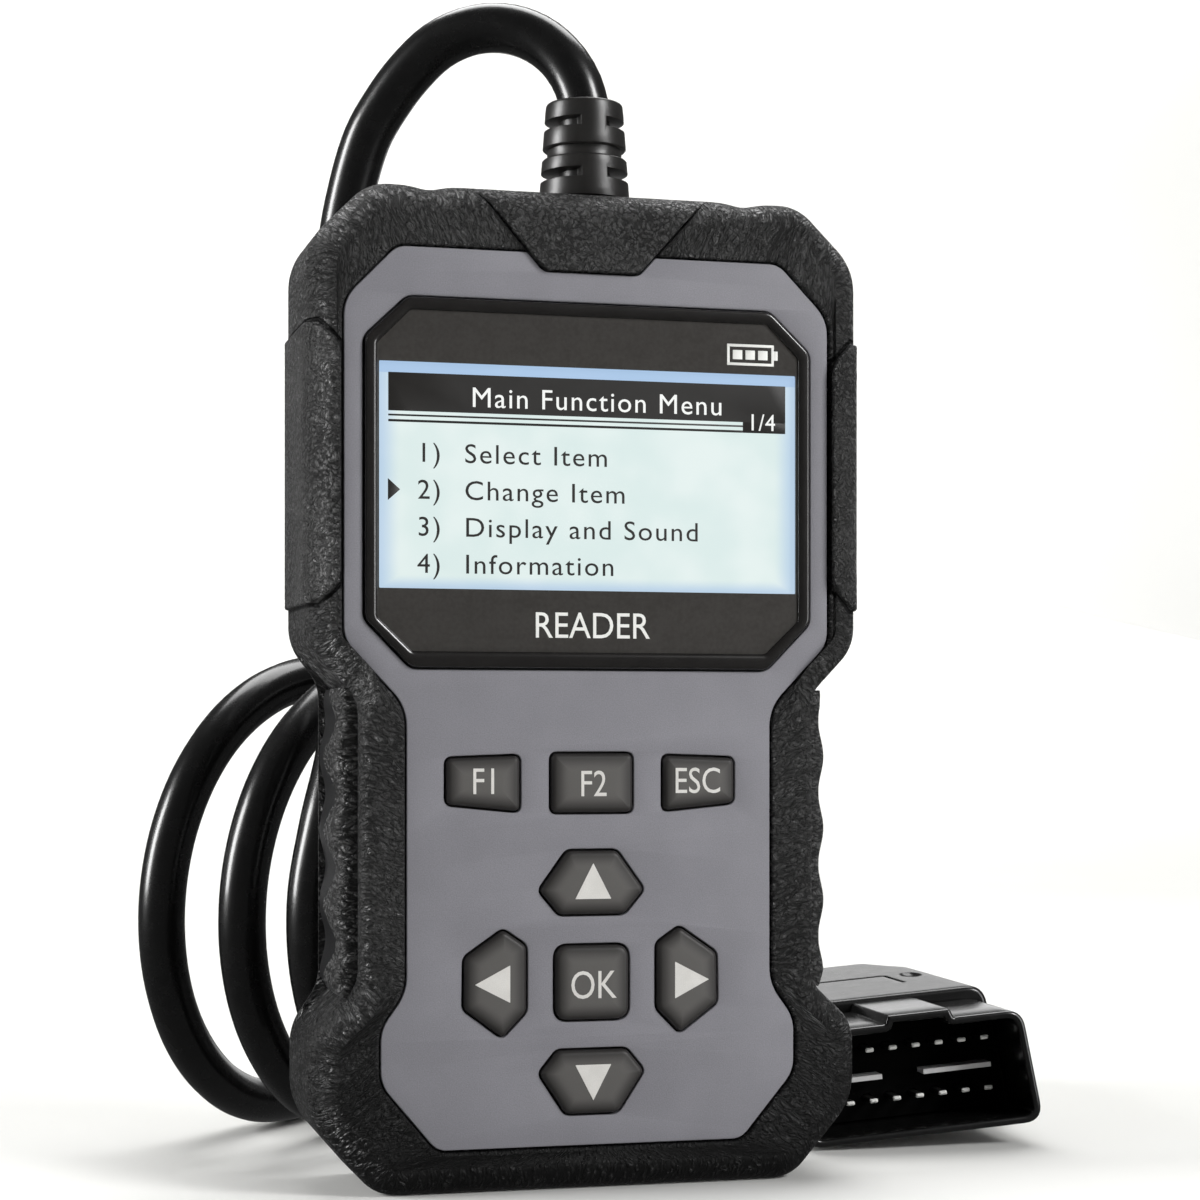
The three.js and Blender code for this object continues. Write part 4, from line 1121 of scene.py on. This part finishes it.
def hood_corners():
    """The hood's section with the key tab standing on its top side."""
    right, low = HOOD_HALF
    top = right[1]
    middle, half, foot, rise = 0.5, 5.3, 5.9, 1.4
    tab = [(middle - foot, top, 0.25), (middle - half, top + rise, 0.4), (middle + half, top + rise, 0.4),
           (middle + foot, top, 0.25)]
    return [*tab, right, low, (-low[0], low[1], low[2]), (-right[0], right[1], right[2])]


def make_hood():
    corners = hood_corners()
    runs = run_counts(corners, 1.2)
    soft = 0.6

    def loop(out, depth):
        return section(corners, out, depth, 7, runs)

    levels = [loop(0, HOOD_DEPTH), loop(0, 7), loop(0, soft)]
    levels += [loop(-soft * out, soft * into) for out, into in quarter(5)[1:]]
    levels += [loop(-HOOD_WALL + soft * into, soft * out) for out, into in quarter(5)]
    levels += [loop(-HOOD_WALL, 6), loop(-HOOD_WALL, HOOD_DEPTH)]
    made = torus("plug_hood_skin", levels)
    made.data.transform(PLUG_PLACE)
    return made


own(make_hood(), HOOD_BLACK, "plug_plastic", "plug_hood", lift=0)


def plan_half(y):
    """Half the plug's width at a distance from its face."""
    return float(np.interp(y, [47, 55, 63, 70.5, 72], [24, 20.6, 17, 14.6, 13.6]))


def make_cover(name, upper):
    """Half of the hollow cover, cut from the whole along its middle plane."""
    half_outline = mirrored(COVER_HALF)
    runs = run_counts(half_outline, 1.6)
    soft, end, wall = 0.9, 1.6, 2

    def loop(y, inset, arc):
        corners = mirrored([(min(x, plan_half(y)), z, rounding) for x, z, rounding in COVER_HALF])
        return section(corners, -inset, y, arc, runs)

    rows = [(COVER_FRONT + soft * into, soft * out) for out, into in quarter(6)][::-1]
    rows += [(y, 0) for y in np.linspace(COVER_FRONT + 2.5, COVER_BACK - 2, 26)]
    rows += [(COVER_BACK - end * into, end * out) for out, into in quarter(6)[1:]]
    made = stack(name, [loop(y, inset, 8) for y, inset in rows])
    inside = np.linspace(COVER_FRONT + wall, COVER_BACK - wall, 12)
    hollow = stack("hollow", [loop(y, wall, 5) for y in inside])
    mouth_ends = (COVER_FRONT - 1, COVER_FRONT + 3)
    mouth = stack("mouth", [section(mirrored(HOOD_HALF), -HOOD_WALL - 0.05, y, 5, None) for y in mouth_ends])
    exit_radius, screw_x, screw_y, seat_radius = 4.6, 15, 45, 2.2
    exit_hole = rod("exit_hole", exit_radius, COVER_BACK - 4, COVER_BACK + 1, 40, ALONG_PLUG)
    low, high = (-40, GAP / 2) if upper else (-GAP / 2, 40)
    cut(made, hollow, mouth, exit_hole, box_mesh("half", (-40, 0, low), (40, 90, high)))
    if upper:
        cut(made, cover_groove(), cover_dimple())
    else:
        places = [at_mm(x, screw_y, 0) for x in (-screw_x, screw_x)]
        cut(made, *[rod("seat", seat_radius, -11, -8.5, 32, place) for place in places])
    soften(made, 0.18, 50)
    made.data.transform(PLUG_PLACE)
    return made


def cover_groove():
    """A shallow line across the top that turns forwards at both ends."""
    half, near, far, width = 9.7, 35, 47.4, 0.8
    within, short, top = half - width, far - width, COVER_HALF[0][1]
    outer = [(-half, near), (-half, far), (half, far), (half, near)]
    inner = [(within, near), (within, short), (-within, short), (-within, near)]
    return stack("groove", [[(x, y, z) for x, y in outer + inner] for z in (top - 0.6, top + 1)])


def cover_dimple():
    profile = [(0, -0.9)] + [(2.6 * math.sin(a), 1.0 - 1.9 * math.cos(a)) for a in np.linspace(0.2, 1.4, 7)]
    profile += [(2.7, 1.6), (0, 1.6)]
    place = at_mm(13.6, 45, COVER_HALF[0][1]) @ Matrix.Diagonal((0.85, 1.7, 1, 1))
    return lathe("dimple", profile, 40, place)


for way in ("top", "bottom"):
    cover = make_cover(f"plug_cover_{way}_skin", way == "top")
    own(cover, PLUG_BLACK, "plug_plastic", f"plug_cover_{way}", lift=0)


def make_relief():
    """Rings that shrink away from the cover, with grooves between them."""
    start, length, rings, soft = COVER_BACK + GAP, 14, 6, 0.25
    first_radius, last_radius = 6.6, 5
    profile = [(0, COVER_BACK - 3), (4.3, COVER_BACK - 3), (4.3, start)]
    for i in range(rings):
        radius = first_radius + (last_radius - first_radius) * i / (rings - 1)
        low = start + length * i / rings
        high = low + length / rings * 0.62
        profile += [(radius - soft, low), (radius, low + soft), (radius, high - soft), (radius - soft, high)]
        if i < rings - 1:
            profile += [(radius - 1, high), (radius - 1, low + length / rings)]
    profile += [(4.2, start + length), (3.9, start + length - 0.6), (0, start + length - 0.6)]
    return lathe("plug_relief_skin", profile, 48, PLUG_PLACE @ ALONG_PLUG)


relief = own(make_relief(), GLAND_RUBBER, "plug_plastic", "plug_strain_relief", lift=0)

CONTACTS = [f"contact_{i + 1:02d}" for i in range(16)]
PLUG_SCREWS = ["plug_screw_1", "plug_screw_2"]
plug_pieces = [relief, "plug_hood_skin", "plug_cover_top_skin", "plug_cover_bottom_skin", "plug_insulator"]
plug_pieces += CONTACTS + PLUG_SCREWS

# ---- carried-over CAD nodes

CARRIED = {
    "front_shell": SHELL_BLACK, "rear_shell": SHELL_BLACK, "rear_label_plate": LABEL_GREY,
    "screen_surround": BEZEL_BLACK, "lcd_panel": DISPLAY, "keypad_mat": IVORY, "main_board": BOARD_GREEN,
    "processor_chip": CHIP_BLACK, "transceiver_chip": CHIP_BLACK, "buzzer": CHIP_BLACK,
    "cable_socket": IVORY, "display_flex": FLEX_AMBER, "plug_insulator": INSULATOR_BLACK,
}
CARRIED.update(dict.fromkeys([*PLUG_SCREWS, *[f"housing_screw_{i + 1}" for i in range(4)]], STEEL))
CARRIED.update(dict.fromkeys(CONTACTS, TIN))
for node, material in CARRIED.items():
    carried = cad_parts[node]
    carried.data.materials.clear()
    carried.data.materials.append(material)


def paint_front_highlight(node, material, limit):
    """Gives another material, a pale copy that paints a highlight, to the faces of a plug node that lie
    nearer its mouth than limit.
    """
    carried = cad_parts[node]
    carried.data.materials.append(material)
    to_plug = PLUG_PLACE.inverted() @ carried.matrix_world
    for polygon in carried.data.polygons:
        if (to_plug @ polygon.center).y < limit * MM:
            polygon.material_index = 1


HOOD_FLOOR, PIN_TIP, HIGHLIGHT_LENGTH = 12.5, 8, 0.8
# Painted highlight on the front faces of the insulator's ribs.
paint_front_highlight("plug_insulator", RIB_PAINTED_HIGHLIGHT, HOOD_FLOOR - 0.1)
# Painted highlight on the contacts' tips, which are the same tin as their bodies.
for contact in CONTACTS:
    paint_front_highlight(contact, TIP_PAINTED_HIGHLIGHT, PIN_TIP + HIGHLIGHT_LENGTH)

# ---- floor and light


def make_floor():
    """A pale floor that curves up behind into a backdrop."""
    reach, front, back, radius, height = 4.0, -3.0, 1.6, 0.8, 3.0
    profile = [(front, 0), (back - radius, 0)]
    profile += [(back - radius * into, radius * out) for out, into in quarter(16)[1:]]
    profile.append((back, height))
    points = [(x, y, z) for y, z in profile for x in (-reach, reach)]
    faces = [(2 * i, 2 * i + 1, 2 * i + 3, 2 * i + 2) for i in range(len(profile) - 1)]
    mesh = bpy.data.meshes.new("floor")
    mesh.from_pydata(points, [], faces)
    for polygon in mesh.polygons:
        polygon.use_smooth = True
    made = new_object("floor", mesh)
    f = Finish("floor_paper", specular=0.1)
    cloud = f.noise(0.002, 3)
    f.colour(f.mix(f.ramp(cloud, 0.3, 0.7), (220, 220, 217), (225, 225, 223)))
    f.rough(0.85)
    mesh.materials.append(f.material)
    made.visible_glossy = False


make_floor()


def area_light(name, place, target, width, height, power, spread=180):
    data = bpy.data.lights.new(name, "AREA")
    data.shape = "RECTANGLE"
    data.size, data.size_y = width, height
    data.energy = power
    data.spread = math.radians(spread)
    made = new_object(name, data)
    made.location = place
    aim = Vector(target) - Vector(place)
    made.rotation_euler = aim.to_track_quat("-Z", "Y").to_euler()
    made.visible_camera = False
    return made


area_light("key_light", (0.75, -0.75, 0.75), (0, 0, 0.1), 0.35, 0.35, 9)
area_light("side_light", (-0.95, 0.1, 0.35), (-0.04, 0, 0.09), 0.3, 0.6, 12)
area_light("fill_light", (0.9, -0.8, 0.2), (0.05, 0, 0.03), 0.3, 0.5, 3.5)
area_light("top_light", (0.2, 0.5, 1.15), (0, 0.02, 0.05), 1.1, 0.7, 12.5)
area_light("sheen_light", (0.6, 1.3, 0.24), (0.06, 0.04, 0.02), 0.9, 0.34, 1.1)
area_light("backdrop_light", (0, 0.2, 1.7), (0, 1.6, 1.1), 3.0, 0.5, 27, spread=110)

world = bpy.data.worlds.new("studio")
bpy.context.scene.world = world
world.use_nodes = True
background = world.node_tree.nodes["Background"].inputs
background["Color"].default_value = (1, 1, 1, 1)
background["Strength"].default_value = 0.1
bpy.context.scene.view_settings.view_transform = "Standard"
